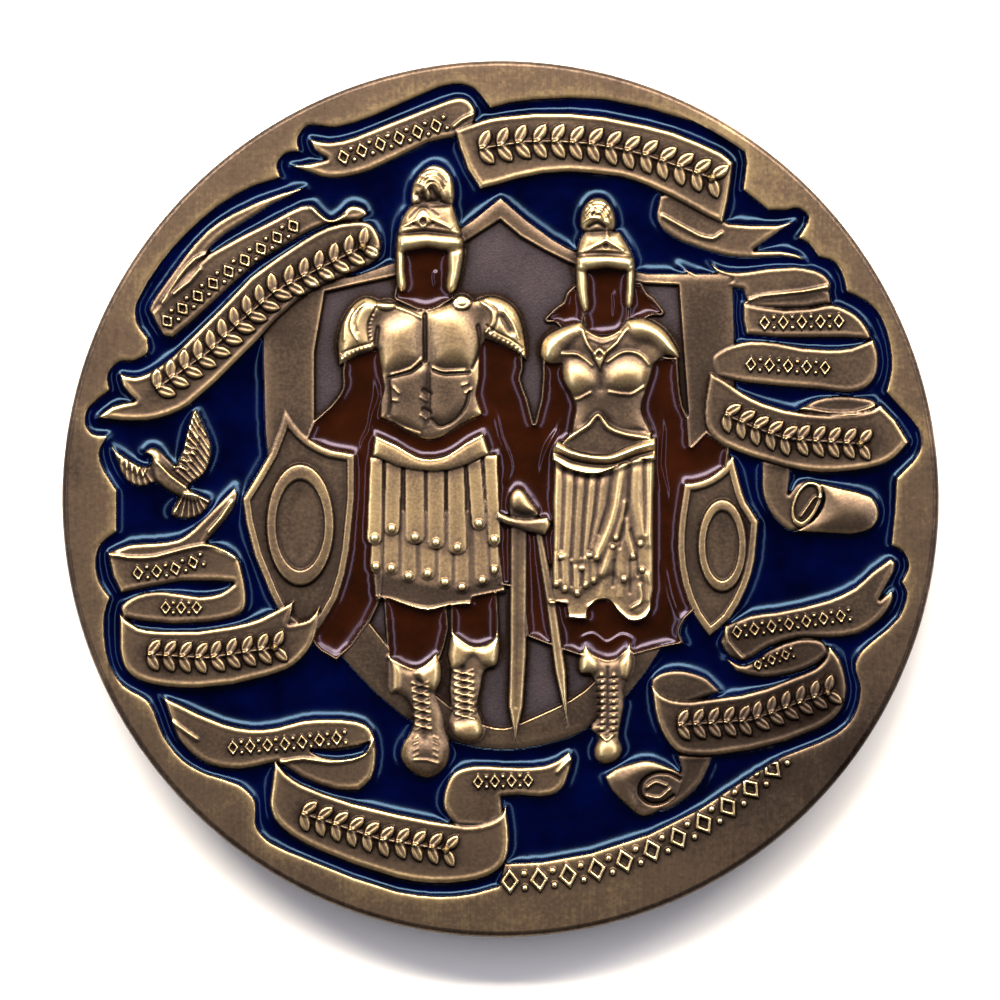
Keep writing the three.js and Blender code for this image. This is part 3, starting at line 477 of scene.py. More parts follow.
band("ribbon_4", """-19.6 -11.4!, -18.5 -11.9, -17.5 -12.4, -16 -13, -14.5 -13.3, -13 -13.2,
    -11.5 -12.8, -10 -12.7, -8.5 -12.8, -7.6 -13.2, -7.2 -14.1, -7.2 -15.4, -7.5 -16.3, -8.2 -16.9!,
    -9.5 -16.9, -11.5 -16.2, -12.9 -15.3!, -13.5 -15.4, -15 -15.7, -16.7 -15.5, -17.8 -14.9,
    -18.7 -13.9, -19.1 -12.9!""")
sink(obverse, None, """-11 -14.55, -9.5 -14.5, -8.3 -14.3, -7.6 -14.1!, -7.9 -14.75, -9.2 -15.05,
    -10.4 -14.9""", FIELD_FLOOR)
band("ribbon_4", """4 -14.6!, 3.3 -15.1, 2.5 -15.4, 1 -15.5, -1 -15.4, -2 -15.5, -2.8 -15.9,
    -3.3 -17, -3.3 -18, -2.6 -19!, -0.6 -19.1!, 0.2 -18.5!, 0.1 -17.3!, 1 -17.2, 2.3 -17.3,
    3.2 -17.1, 3.8 -16.5, 4.2 -15.1!""")
band("ribbon_4", """-13.1 -15.1!, -12.4 -15.9, -11.5 -16.5, -10.3 -17, -8.5 -17.6, -6 -18.2,
    -4 -18.6, -2 -18.9, -0.7 -18.7, 0.1 -18.2, 0.3 -17.6!, 0.5 -19, 0.5 -20.4, 0.1 -21.3,
    -0.8 -21.9, -2 -22.2, -4 -22.3, -6 -22, -8.5 -21.2, -10.5 -20.4, -12 -19.6, -13.1 -18.6,
    -13.4 -17.5""", LARGE_BAND, 0.04)
obverse.report("ribbon_3")
obverse.report("ribbon_4")

# %% Banners at the right
fold("ribbon_5", """12.1 13.8!, 12.6 13.4, 13.3 13.2, 14.2 13.2, 15.5 13.4, 17 13.5, 18.2 13.3,
    18.9 12.9, 19.2 12.3, 18.9 11.9, 17.5 11.8, 15 11.6, 14.4 11.2!, 14.1 11.8!, 14 12.1, 13 12.2,
    12 12.4, 11 12.9, 10.3 13.5!, 11.3 13.1, 12.5 12.7, 13.4 12.7!, 12.5 13.1""")
fold("ribbon_5", """14.1 11.45!, 15.3 11.77, 17.5 12.03, 18.6 12.3!, 19.1 12, 19.2 11.3!, 17.5 11,
    14.1 11!""")
fold("ribbon_5", "17.2 5.2!, 18.3 5.8, 19.5 6, 21 5.9, 21.8 5.6, 21.5 4.9!, 18 4.7!")
band("ribbon_5", """14 11.4!, 15 11.2, 16.5 11, 18 11.1, 19.2 11.3, 20.3 10.9, 21 10.3, 21.5 9.4,
    21.3 9.2!, 20 9.3, 18 9.3, 16 9.3, 14.2 9.5!, 14 10.4""")
band("ribbon_5", """12.4 7!, 12.2 8.1, 12.6 8.6, 13.5 9, 14.5 9.2, 16 9.1, 17.5 8.8, 19 8.7,
    20.3 8.8, 21.6 9.3!, 21.9 8.5, 21.9 7.5, 21.6 6.8, 21 6.3, 20 6.1, 18.5 6.3, 16 6.5, 14 6.7,
    13 6.9""")
fold("ribbon_5", """15.1 2.3!, 15.1 0.8, 15.3 -0.2, 15.9 -1.2, 16.9 -1.9, 17.9 -1.2, 18.4 0.2,
    18 1.1, 17.2 0.9, 16.7 0.3!, 16.9 2!""")
band("ribbon_5", """12.1 7.4!, 13 6.9, 14 6.2, 15.2 5.6, 16.5 5.2, 17.7 5, 19 4.9, 20.5 5, 21.5 5.2,
    22 5.5!, 22.9 4.6, 23.7 3.3!, 22.9 2.4, 22 1.9, 20.5 1.6, 18.5 1.5, 16.5 1.8, 14.5 2.4, 13 3,
    12.2 3.6, 11.8 4.4, 11.8 5.6, 12 6.8""", LARGE_BAND, 0.04)
fold("ribbon_6", """8.9 -11.5!, 8.7 -10.6, 9.2 -10.1, 10.1 -9.9, 11 -10, 12 -10.4, 12.8 -11.2!,
    10.6 -12!""")
band("ribbon_6", """13 -9.2!, 14.2 -9.6, 15.6 -8.7, 17.2 -8.1, 18.6 -8.2, 19 -9, 17.5 -10,
    15.2 -10.4, 13.6 -10!""")
band("ribbon_6", """13 -7.3!, 14.5 -6.7, 16 -6.5, 17.5 -6.2, 19 -5.8, 20.5 -5.1, 21.5 -4.2,
    22.6 -3.4!, 22.9 -3.7, 22.8 -4.3, 22 -5.8!, 22.7 -5.2!, 22.8 -5.7, 22.5 -6.4, 21.8 -7.2,
    20.6 -7.9, 19 -8.1, 17.2 -8.1, 15.6 -8.6, 14.2 -9.4, 13.2 -9.1, 12.7 -8.3!""")
band("ribbon_6", """8.7 -10.7!, 9.3 -11.3, 10 -11.6, 11 -11.7, 12.5 -11.5, 14 -11.3, 15.5 -10.9,
    17 -10.3, 18.2 -9.8, 18.8 -9.2, 19 -8.4!, 19.7 -9.3, 20.1 -10.8, 19.9 -12, 19.3 -12.8,
    18.3 -13.4, 16.5 -14.1, 14.5 -14.6, 12.5 -14.9, 11 -14.9, 10.1 -14.6, 9.3 -13.5, 8.9 -12.3""",
    LARGE_BAND, 0.04)
fold("ribbon_6", """10.2 -14.8!, 12.4 -14.8!, 11.7 -16.4, 10.6 -17.5, 9.5 -18.1, 8.8 -17.9,
    9.6 -16.9, 10.4 -15.9""")
obverse.report("ribbon_5")
obverse.report("ribbon_6")

# %% [markdown]
# ## Rolled ends and folds
# Two banners end in a roll. A roll could be a turned spiral, but from above it is a mound over a
# slab, with a curl at its open end. Fine ridges mark the folds that a rolled edge alone doesn't
# show.

# %% Scroll ends and fold lines
RIGHT_ROLL = """18 1!, 18.7 0.9, 20 0.6, 21.4 0.2, 21.9 -0.5, 21.9 -1.2, 21.4 -1.8, 20.2 -2.1,
18.5 -2, 17 -1.9!, 18.1 -1.2, 18.7 -0.2, 18.6 0.6"""
slab(obverse, "ribbon_5", RIGHT_ROLL, 3.42, roll=0.2, drop=0.06)
mound(obverse, "ribbon_5", RIGHT_ROLL, 0.3, reach=1.4)
slab(obverse, "ribbon_5", """16.8 -0.5, 17.1 0.4, 17.7 1, 18.5 0.9, 18.7 0.1, 18.2 -1, 17.5 -1.7,
    16.9 -1.4""", 3.5, roll=0.2)
sink(obverse, None, """17 -0.5, 17.3 0.3, 17.8 0.8, 18.3 0.7, 18.4 0.1, 18 -0.8, 17.5 -1.3,
    17.1 -1.1""", 3.3)
line(obverse, "17.4 -1, 17.9 -0.3, 18.2 0.1, 18.6 0.1", 0.2, 0.12)
slab(obverse, "ribbon_6", """6 -16.1!, 6.6 -15.6, 7.5 -15.3, 8.5 -15.1, 9.5 -15.4, 10.5 -16,
    10.3 -17.2, 9.3 -18, 8.5 -18.4, 7.9 -18.3, 7.2 -17.7, 6.4 -16.9""", 3.42, roll=0.3, drop=0.1)
mound(obverse, "ribbon_6", """6 -16.1!, 6.6 -15.6, 7.5 -15.3, 8.5 -15.1, 9.5 -15.4, 10.5 -16.1,
    9 -16, 8 -16.6, 7.9 -18, 7 -17.6""", 0.22, reach=1.1)
for stroke, width, rise in (
    ("""10.4 -16.2, 9.8 -15.9, 8.9 -15.9, 8.2 -16.4, 8.1 -17.1, 8.6 -17.6, 9.4 -17.6, 10 -17.2""",
        0.24, -0.16),
    ("8.5 -16.7, 9 -16.4, 9.6 -16.6", 0.22, 0.12),
    ("8.5 -17.2, 9.2 -17.3, 9.8 -16.8", 0.22, 0.12),
):
    line(obverse, stroke, width, rise)
FOLD_LINES = [
    "-2.7 21.6, -2.2 22, -1.6 22.3",
    "-18.9 11.9, -18 12.6, -17.4 13.3",
    "-19.6 11.4, -18.6 12.9, -17.7 13.9, -17 14.2",
    "-11 16.9, -10.2 16.2, -9.6 16.1, -9 16.4",
    "-22.7 -3.2, -21.5 -3.4, -20 -3.35, -18.5 -2.95, -17.3 -2.7, -16.2 -2.8, -15.4 -3.4",
    "-19 -12.9, -18.2 -13.5, -17.6 -13.9",
    "-12.7 -15.25, -11.4 -15.05, -10 -15.25, -8.6 -15.1, -7.7 -14.6, -7.35 -13.9",
    "9.4 16.4, 10.3 15.9, 11.4 15.3, 12.3 15.1, 12.8 15.4",
    "17.3 5.3, 19 5, 20.5 5, 21.7 5.4",
    "14.2 11.45, 15.3 11.75, 17.5 12, 18.9 12.3",
    "13 -7.4, 13.2 -8.3, 14 -9.2",
    "-16.9 -1.9, -16.2 -1.1, -15.6 -0.2",
    "3.3 -15.8, 3.7 -15.4, 4.1 -15",
]
for stroke in FOLD_LINES:
    line(obverse, stroke, 0.28, 0.12)
print(len(FOLD_LINES), "fold lines and 2 rolled ends")

# %% Ornament in place of wording
for path, high in (
    ("-1.2 20.3, 1.5 20.7, 5 20.6, 8.5 19.9, 12.2 18.6", 2.0),
    ("-19.9 6.4, -16.8 8.6, -13 12.1, -8 14.6", 1.9),
    ("-20.4 -9, -17 -9.2, -13.1 -8.6", 1.8),
    ("-11.5 -18.2, -7 -19.7, -3.2 -20.3", 1.8),
    ("13 4.9, 16.5 3.5, 20.8 3.2", 1.8),
    ("10.3 -13.1, 14.5 -12.8, 18.9 -11.2", 1.75),
):
    laurel_row(obverse, path, high)
for path, high in (
    ("-9.1 19.8, -6.5 20.7, -3.2 21.8", 1.1),
    ("-19.3 10.3, -16 13, -12 15.8", 1.1),
    ("-21 -4.3, -19 -4.1, -17.3 -3.5", 1.0),
    ("-19.4 -6.3, -18 -6.3, -17.6 -6.3", 0.95),
    ("-15.5 -14.4, -12.5 -14.2, -9 -13.8", 1.0),
    ("-1.3 -16.4, 1.6 -16.3", 0.95),
    ("15.3 10.2, 19.6 10.3", 1.0),
    ("14.5 7.8, 18.8 7.6", 1.0),
    ("13.7 -7.7, 17 -7.2, 20.2 -6.7", 0.95),
    ("14.9 -9.6, 16.9 -8.9", 0.8),
):
    lozenge_row(obverse, path, high)
RIM_ROW_RADIUS = 22.15
turn = np.radians(np.linspace(-88.6, -42.6, 60))
rim_row = RIM_ROW_RADIUS * np.stack([np.cos(turn), np.sin(turn)], axis=1)
for i, (x, y, angle) in enumerate(stations(rim_row, 0.86)):
    if i % 2 == 0:
        lozenge(obverse, x, y, angle, 1.2, 1.6, 0.22)
    else:
        for side in (-0.42, 0.42):
            stud(obverse, x - side * math.sin(angle), y + side * math.cos(angle), 0.21, 0.22)
print("ornament stands up to", round(float(obverse.height.max()), 2), "mm")

# %% [markdown]
# ## The dove
# The dove is a small relief with wings of overlapping feathers. Feathers could be drawn one by
# one, but they fan out evenly in life, so each is a short ridge from the wing's leading edge to
# its trailing edge, at even shares of both.

# %% Dove with feathered wings
slab(obverse, "dove", """-22.6 3.2!, -22.3 2.8, -21.7 2.4, -21 2, -20.4 1.9, -20.2 2.4, -20.7 2.7!,
    -20.3 3, -19.8 2.9, -19.4 2.5, -18.8 1.9!, -18.4 2.8, -18.2 3.9, -17.9 5, -17.6 5.3!, -17.2 4.4,
    -16.7 3.1, -16.8 2.2, -17.2 1.4, -17.9 0.9, -18.1 0.6!, -17.4 0.2, -16.8 -0.1, -17.3 -0.9,
    -18.3 -1.2, -19.1 -0.9, -18.7 0.1!, -19.4 0.5, -20 0.9, -20.8 0.7, -21.6 1, -22.1 1.8""", 3.36,
    roll=0.25, drop=0.1)
mound(obverse, "dove", """-20.7 2.7!, -20.3 3, -19.8 2.8, -19.5 2.2, -19.1 1.6, -18.2 0.9,
    -17.4 0.3, -17.6 -0.2, -18.6 0.1, -19.5 0.6, -20.1 1.2, -20.3 2""", 0.22, reach=0.5)


def feathers(roots, tips, count, width, rise):
    roots, tips = curve(roots, closed=False), curve(tips, closed=False)
    for share in np.linspace(0, 1, count):
        ends = []
        for path in (roots, tips):
            at = share * (len(path) - 1)
            ends.append([np.interp(at, range(len(path)), path[:, k]) for k in (0, 1)])
        line(obverse, np.array(ends), width, rise)


for roots, tips, count, width, rise in (
    ("-22.3 2.7, -21.4 2.1, -20.6 1.6", "-22.3 2.1, -21.8 1.2, -20.9 0.7, -20.1 0.8", 7, 0.22, 0.12),
    ("-22.2 2.9, -21.4 2.35, -20.5 1.9", "-22.1 2.4, -21.5 1.7, -20.7 1.35", 6, 0.2, 0.1),
    ("-18.7 1.6, -18.2 2.6, -17.9 4, -17.7 5", "-17.9 0.9, -17.1 1.5, -16.9 3, -17.4 4.5", 10, 0.22, 0.12),
    ("-18.9 1.9, -18.4 3, -18 4.4, -17.7 5.2", "-18.1 1.7, -17.7 2.6, -17.5 3.6, -17.5 4.7", 9, 0.2, 0.1),
    ("-18.3 0.3, -17.9 0.3, -17.5 0.2", "-18.9 -0.8, -18.2 -1.1, -17.3 -0.8, -16.9 -0.2", 7, 0.18, 0.13),
):
    feathers(roots, tips, count, width, rise)
for stroke, width, rise in (
    ("-22.5 3, -21.6 2.4, -20.6 1.9", 0.22, 0.14),
    ("-18.9 1.8, -18.4 2.8, -17.7 5.1", 0.22, 0.12),
    ("-19.9 2.1, -19.1 1.3, -18 0.5, -16.9 -0.1", 0.26, 0.12),
):
    line(obverse, stroke, width, rise)
stud(obverse, -18.9, -0.7, 0.3, 0.14)
obverse.report("dove")

# %% [markdown]
# ## Hand shields, swords and joined hands
# The two small shields have a raised border, a plain plate and an oval boss with its own rim.
# Both are cut by the same steps, so they look like one smith's work, and only their outlines and
# ovals differ. The swords lie over the capes, and the joined hands cover their hilts.

# %% Hand shields
HAND_SHIELDS = (
    ("left_hand_shield", """-12.5 5.3!, -11.9 4.4, -11 3.5, -9.8 2.9, -8.4 2.65!, -8.4 0, -8.7 -3,
        -9.4 -5.8, -10.9 -8.2!, -12.4 -7.2, -13.4 -5.5, -14.3 -3.3, -14.8 -1.4, -15 0!, -14.2 1.3,
        -13.4 2.7, -12.9 4""", (-11.6, -1.5, 2, 3.55), (1.42, 2.65)),
    ("right_hand_shield", """13.5 2.6!, 12.9 1.9, 12.1 1.3, 11.2 1, 10.6 0.95!, 10.3 -1, 10.2 -3,
        10.5 -5, 11.2 -6.8, 12.1 -8!, 13.3 -7, 14.3 -5.2, 14.8 -3.5, 15 -1.3!, 14.3 -0.2, 13.9 1""",
        (12.85, -2.7, 1.45, 2.7), (0.98, 2.05)),
)
for name, edge, boss, hollow in HAND_SHIELDS:
    slab(obverse, name, edge, HAND_SHIELD, roll=0.3, drop=0.12)
    spot, depth = obverse.depth(curve(edge))
    own = obverse.owner[spot] == obverse.names.index(name)
    obverse.height[spot] += own * (0.05 * ease((depth - 0.9) / 0.6) - 0.14 * ease((depth - 0.42) / 0.16))
    spot, depth = obverse.depth(oval(*boss))
    obverse.height[spot] += 0.2 * ease((depth + 0.06) / 0.18) + 0.03 * ease(depth / 0.4)
    spot, depth = obverse.depth(oval(boss[0], boss[1], *hollow))
    obverse.height[spot] -= 0.15 * ease((depth + 0.06) / 0.18) + 0.05 * ease((depth - 0.2) / 0.8)
    obverse.report(name)

# %% Swords and hands
BLADES = (
    "0.5 -1.35!, 1.62 -1.4!, 1.56 -9!, 1.36 -12!, 0.86 -14.4!, 0.4 -12!, 0.48 -9!",
    "1.85 -1.5!, 2.4 -1.5!, 3.2 -5.5!, 3.85 -10!, 4 -14!, 3.1 -10!, 2.5 -5.5!",
)
for blade in BLADES:
    slab(obverse, "swords", blade, 3.46, roll=0.25, drop=0.1)
    mound(obverse, "swords", blade, 0.1, reach=0.5, power=1.4)
line(obverse, "1.02 -2, 0.98 -8, 0.9 -12", 0.34, -0.04)
slab(obverse, "swords", """-0.2 -0.65!, 0.5 -0.95, 1.5 -1.1, 2.75 -1!, 2.95 -1.5, 2.6 -2.15!,
    1.5 -1.95, 0.2 -1.5, -0.35 -1.15!""", 3.7, roll=0.38, drop=0.2)
slab(obverse, "swords", """0.55 0.25, 0.95 0.65, 1.35 0.5, 1.8 -0.1, 2.25 -0.9, 1.5 -1.3, 0.6 -1.1,
    0.42 -0.4""", 3.55, roll=0.3)
mound(obverse, "swords", """0.5 0.2, 0.95 0.65, 1.35 0.5, 1.75 -0.1, 2.1 -0.7, 1.5 -0.9, 0.8 -0.7,
    0.5 -0.3""", 0.26, reach=0.6)
obverse.report("swords")

# %% [markdown]
# ## The left figure
# The torso is a muscle cuirass. It could be sculpted as a round body and squashed flat, but a
# low relief bends the rules of depth, so breast, belly plates and shoulder guards are mounds on
# one slab, with creases between them. The war skirt is two rows of straps, each with a riveted
# round end, and one function makes them all.

# %% Cuirass and shoulder guards
LEFT = "left_figure"
slab(obverse, LEFT, """-6.9 11.4, -6 11.3, -4.4 10.9, -2.9 11.4, -2.3 11.8, -1.5 11.5, -0.6 11.75,
    0.3 11.5, 0.95 10.9, 1.32 9.9, 1.47 8.9, 1.52 8!, 0.9 8.45, 0 8.9, -0.85 9.25!, -1.15 8.6,
    -1.2 7, -1.35 6, -1 4.9!, -2.3 4.3, -3.3 3.6, -4.3 3.4, -5.2 3.8, -6.2 4.4, -7 4.7!, -7 5.6,
    -6.8 6.5, -7.15 8.6!, -8.2 8.3, -9.35 7.7!, -9.45 8.9, -9.2 10.2, -8.6 11.2, -7.8 11.7""", 3.54,
    roll=0.5, drop=0.14)
for outline, rise, reach in (
    ("""-6.5 7, -6.4 5.5, -6.3 4.7, -5.4 4.2, -4.6 3.9, -4.35 4.4, -4.3 6, -4.3 7.7, -5.2 7.5,
        -6 7.3""", 0.15, 0.6),
    ("""-4.1 7.5, -4.15 6, -4.1 4.9, -3.4 4.4, -2.6 4.8, -2 5.5, -1.8 6.4, -1.9 7.4, -3 7.5""",
        0.17, 0.6),
    ("""-7.1 9.6, -6.65 10.35, -5.6 10.75, -4.75 10.55!, -4.47 9.4, -4.5 8.2!, -5.1 7.65, -6.2 7.3,
        -6.95 7.5, -7.2 8.5""", 0.4, 1.3),
    ("""-4.3 10.7!, -3.7 11.15, -2.8 11.3, -1.9 10.85, -1.3 9.8, -1.22 8.6, -1.7 7.6!, -3 7.5,
        -4 7.75!, -4.28 9""", 0.42, 1.35),
    ("""-6.9 11.4, -7.8 11.75, -8.6 11.3, -9.25 10.3, -9.5 9, -9.4 7.7!, -8.2 8.3, -7.15 8.6!,
        -7.25 9.3, -7.35 10.3, -6.8 10.9""", 0.42, 1.2),
    ("""-1.5 11.5, -0.6 11.8, 0.3 11.55, 1 10.9, 1.36 9.9, 1.5 8.9, 1.55 8!, 0.9 8.45, 0 8.9,
        -0.85 9.25!, -1.1 9.9, -1 10.6""", 0.42, 1.2),
):
    mound(obverse, LEFT, outline, rise, reach)
obverse.report(LEFT)

# %% Creases, ribs and clasps of the cuirass
for stroke, width, rise in (
    ("-4.38 10.7, -4.38 9.5, -4.36 8", 0.22, -0.2),
    ("-7.1 9.9, -7.25 8.6, -7 7.5", 0.26, -0.12),
    ("-1.3 10, -1.15 8.7, -1.6 7.6", 0.26, -0.12),
    ("-6.4 7.05, -5.2 7.35, -4.6 7.8", 0.18, -0.12),
    ("-3.9 7.45, -3.2 7.22, -1.8 7.3", 0.18, -0.12),
    ("-6.3 7.2, -5.2 7.55, -4.6 8.1", 0.22, 0.1),
    ("-3.9 7.6, -3.3 7.4, -2.1 7.45", 0.22, 0.1),
    ("-4.15 7.8, -4.15 6, -4.15 4.4", 0.18, -0.05),
    ("-4.45 6.3, -4.1 6.1", 0.3, -0.1),
    ("-4.45 5.2, -4.1 5", 0.3, -0.1),
    ("-4.6 5.9, -4.3 5.7", 0.2, 0.08),
    ("-4.6 4.85, -4.3 4.65", 0.2, 0.08),
    ("-6.2 6.45, -5.9 6.15", 0.2, 0.1),
    ("-6.3 5.75, -6 5.7", 0.18, 0.1),
    ("-2.2 6.6, -1.9 6.7", 0.2, 0.1),
    ("-2 6.15, -1.7 6.35", 0.2, 0.1),
    ("-6.4 4.5, -5.6 4.1, -4.7 3.8", 0.2, 0.1),
    ("-4 4.6, -3.5 4.2, -2.6 4.6, -2 5.4, -1.8 6.2", 0.22, -0.1),
    ("-6.5 7, -6.4 5.6, -6.5 4.9", 0.22, -0.08),
    ("-7.9 11.3, -8.5 10.7, -8.65 9.9, -8.3 9.2", 0.2, 0.1),
    ("-8.6 11, -9 10.2, -9.05 9.2", 0.16, 0.07),
    ("-8.1 11, -8.4 10.2, -8.3 9.7", 0.18, -0.08),
    ("-7.2 11.1, -7.6 10.2, -7.55 9.2", 0.2, -0.1),
    ("-9.2 8.45, -8.2 8.85, -7.4 9.05", 0.18, -0.09),
    ("-1.1 11.4, -0.5 10.9, -0.45 10.2, -0.8 9.75", 0.24, 0.1),
    ("-0.85 11.4, -0.2 10.9, -0.2 10.2, -0.5 9.7", 0.16, -0.09),
    ("1.3 8.75, 0.6 9.25, -0.2 9.65, -0.8 10.05", 0.16, -0.09),
    ("0.2 10.9, 0.7 10.2, 1.05 9.3", 0.16, 0.08),
    ("-6 11.1, -5.2 10.8, -4.6 10.5", 0.2, 0.09),
    ("-6 11.5, -5 11.05, -4.3 10.95, -3.6 11.1, -3 11.5", 0.18, 0.08),
):
    line(obverse, stroke, width, rise)
for x, y, angle in stations(curve("-9.2 8.1, -8.2 8.6, -7.3 8.85", closed=False), 0.27):
    stud(obverse, x, y, 0.11, 0.08)
line(obverse, "-0.1 10.8, 0.35 10.1, 0.75 9.4", 0.5, -0.2, taper=True)
for x, y, angle in stations(curve("1.35 8.35, 0.6 8.9, -0.2 9.3, -0.85 9.65", closed=False), 0.27):
    stud(obverse, x, y, 0.12, 0.09)
for x, y, angle in stations(curve("-7.4 10.6, -7.6 9.8, -7.4 9", closed=False), 0.24):
    stud(obverse, x, y, 0.1, 0.07)
for outline, rise, reach in (
    (oval(-6.6, 11.25, 0.62, 0.36), 0.26, 0.3),
    (oval(-2.25, 11.4, 0.62, 0.5), 0.24, 0.28),
):
    mound(obverse, LEFT, outline, rise, reach)
line(obverse, oval(-2.25, 11.4, 0.32, 0.24), 0.14, -0.08)
obverse.report(LEFT)

# %% Belt and strap skirt
slab(obverse, LEFT, """-7.3 3.7!, -6 3.1, -4.9 2.5, -4 2.4, -2.9 2.7, -1.9 3.4, -1 3.8!, -0.6 2.7,
    -0.3 1, -0.1 -1, 0 -3, 0.3 -5.3!, -0.6 -5.5, -1.6 -5.7!, -1.7 -6.1!, -3 -6.2, -4.2 -6.5,
    -5.4 -6.2, -6.5 -5.8, -7.3 -5.7!, -7.6 -2, -7.6 0, -7.5 2.4""", 3.38, roll=0.25, drop=0.06)
line(obverse, "-7.2 -5.75, -6.5 -5.8, -5.4 -6.15, -4.2 -6.4, -3 -6.15, -1.7 -6.05", 0.26, 0.18)
line(obverse, "-1.6 -5.7, -0.6 -5.5, 0.2 -5.35", 0.24, 0.18)


def strap(left, right, top, x, y, half, level):
    outline = f"""{left} {top}!, {right} {top}!, {x + half} {y}!, {x + 0.75 * half} {y - 0.32},
    {x} {y - 0.47}, {x - 0.75 * half} {y - 0.32}, {x - half} {y}!"""
    slab(obverse, LEFT, outline, level, roll=0.26, drop=0.1, grow=-0.02, draft=0.08)
    stud(obverse, x, y, 0.24, 0.16)


for left, right, x, y, half in (
    (-7.5, -6.88, -7.22, -3.9, 0.4), (-6.87, -5.83, -6.33, -4, 0.52),
    (-5.8, -4.81, -5.32, -4.45, 0.52), (-4.79, -3.71, -4.22, -4.3, 0.5),
    (-3.69, -2.72, -3.22, -4.8, 0.49), (-2.7, -1.76, -2.24, -5.1, 0.5),
    (-1.66, -0.68, -1.06, -4.7, 0.5), (-0.66, -0.1, -0.36, -4.1, 0.34),
):
    strap(left, right, -0.6, x, y, half, 3.46)
for left, right, x, y, half in (
    (-7.62, -6.74, -7.3, -2.25, 0.5), (-6.72, -5.64, -6.3, -1.7, 0.52),
    (-5.62, -4.34, -4.95, -2.2, 0.63), (-4.32, -3.18, -3.74, -2.5, 0.58),
    (-3.16, -2.04, -2.5, -2.8, 0.62), (-2.02, -1.06, -1.25, -1.4, 0.5),
    (-1.04, -0.14, -0.36, -2.35, 0.44),
):
    strap(left, right, 2.05 + 0.04 * (x + 4.1) ** 2, x, y, half, 3.56)
slab(obverse, LEFT, """-7.3 3.75!, -6 3.15, -4.9 2.5, -4.1 2.35, -3.1 2.55, -2 3.3, -1 3.85!,
    -0.6 2.6!, -1.8 2, -3 1.62, -4.3 1.57, -6 1.85, -7.45 2.5!""", 3.74, roll=0.4, drop=0.16)
line(obverse, "-7.2 3.6, -6 3.05, -4.9 2.42, -4.1 2.27, -3.1 2.5, -2 3.2, -1.05 3.7", 0.24, 0.08)
obverse.report(LEFT)

# %% [markdown]
# ## Boots
# Each boot is a leg of leather with a turned cuff, a laced front and a round toe. The laces are
# crossed ridges at even steps, which keeps them regular where strokes drawn by eye would wander.

# %% The left figure's boots
slab(obverse, LEFT, """-2.85 -7.6!, -2.4 -8, -1.5 -8.5, -0.6 -8.3, -0.1 -7.7!, 0 -8.6, -0.2 -9.6,
    -0.9 -10, -1.1 -11, -1.3 -12, -1 -12.9, -0.9 -13.6, -1.4 -14.1, -2.2 -14.1, -2.9 -13.7,
    -3.1 -12.9, -2.9 -12.2, -3 -11, -2.9 -9.9, -3.1 -9""", 3.5, roll=0.6, drop=0.22)
for outline, rise, reach in (
    ("""-2.8 -7.7!, -1.5 -8.5, -0.15 -7.8!, 0 -8.8, -0.3 -9.8, -1 -9.6, -1.6 -9.1, -2.3 -9.8,
        -3 -9.9, -3.1 -8.9""", 0.16, 0.5),
    ("-2.9 -13, -2.2 -12.7, -1.4 -12.6, -0.9 -13.3, -1.2 -14, -2.1 -14.15, -2.8 -13.8", 0.26, 0.7),
):
    mound(obverse, LEFT, outline, rise, reach)
line(obverse, "-2.8 -7.75, -1.5 -8.6, -0.2 -7.85", 0.26, 0.12)
slab(obverse, LEFT, """-6.5 -9.1!, -5.9 -9.4, -5 -9.8, -4.3 -9.5, -3.7 -8.9!, -3.4 -9.6, -3.4 -10.5,
    -3.7 -11.3, -3.3 -12.5, -3.2 -13.3, -2.9 -14.2, -3 -15.2, -3.5 -15.9, -4.3 -16.2, -5.2 -15.8,
    -5.8 -15, -5.7 -14.2, -5.2 -13.4, -5.1 -12.5, -5.5 -11.6, -6.4 -11.2!, -6.4 -10""", 3.52,
    roll=0.6, drop=0.22)
for outline, rise, reach in (
    ("""-3.8 -9!, -4.3 -9.5, -4.9 -9.8!, -5.1 -10.1, -4.4 -10.9, -3.8 -11.2, -3.4 -10.6,
        -3.4 -9.6""", 0.2, 0.5),
    ("-6.5 -9.1!, -5.9 -9.4, -5.7 -10, -5.8 -11.1, -6.4 -11.2, -6.5 -10", 0.12, 0.4),
    (oval(-4.38, -14.9, 1.35, 1.2), 0.3, 0.9),
):
    mound(obverse, LEFT, outline, rise, reach)
line(obverse, "-6.45 -9.15, -5.7 -9.6, -4.8 -9.8, -4.3 -9.5, -3.75 -8.95", 0.3, 0.14)
line(obverse, "-5 -15.1, -4.3 -15.1, -3.6 -15.3", 0.2, 0.08)
for side, x in ((1, -4.9), (-1, -3.75)):
    for y in (-13.8, -14.15, -14.5, -14.85):
        seam = [[x - 0.12, y - 0.05 * side], [x + 0.12, y + 0.06 * side]]
        line(obverse, np.array(seam), 0.15, 0.05)


def laces(left, right, top, bottom, steps, lean, rise=0.1):
    for i in range(steps):
        y = top + (bottom - top) * i / (steps - 1)
        shift = lean * i / (steps - 1)
        line(obverse, np.array([[left + shift, y + 0.14], [right + shift, y - 0.12]]), 0.17, rise)
        line(obverse, np.array([[left + shift, y - 0.2], [right + shift, y + 0.2]]), 0.12, 0.5 * rise)


line(obverse, "-4.75 -10.3, -4.6 -11.5, -4.4 -12.6, -4.4 -13.6", 0.5, -0.1)
laces(-5.1, -4.2, -10.8, -13.2, 6, 0.15)
line(obverse, "-2.2 -9.8, -2.1 -11, -2 -12.3", 0.45, -0.09)
laces(-2.7, -1.6, -10.1, -12.6, 7, 0.1)
obverse.report(LEFT)

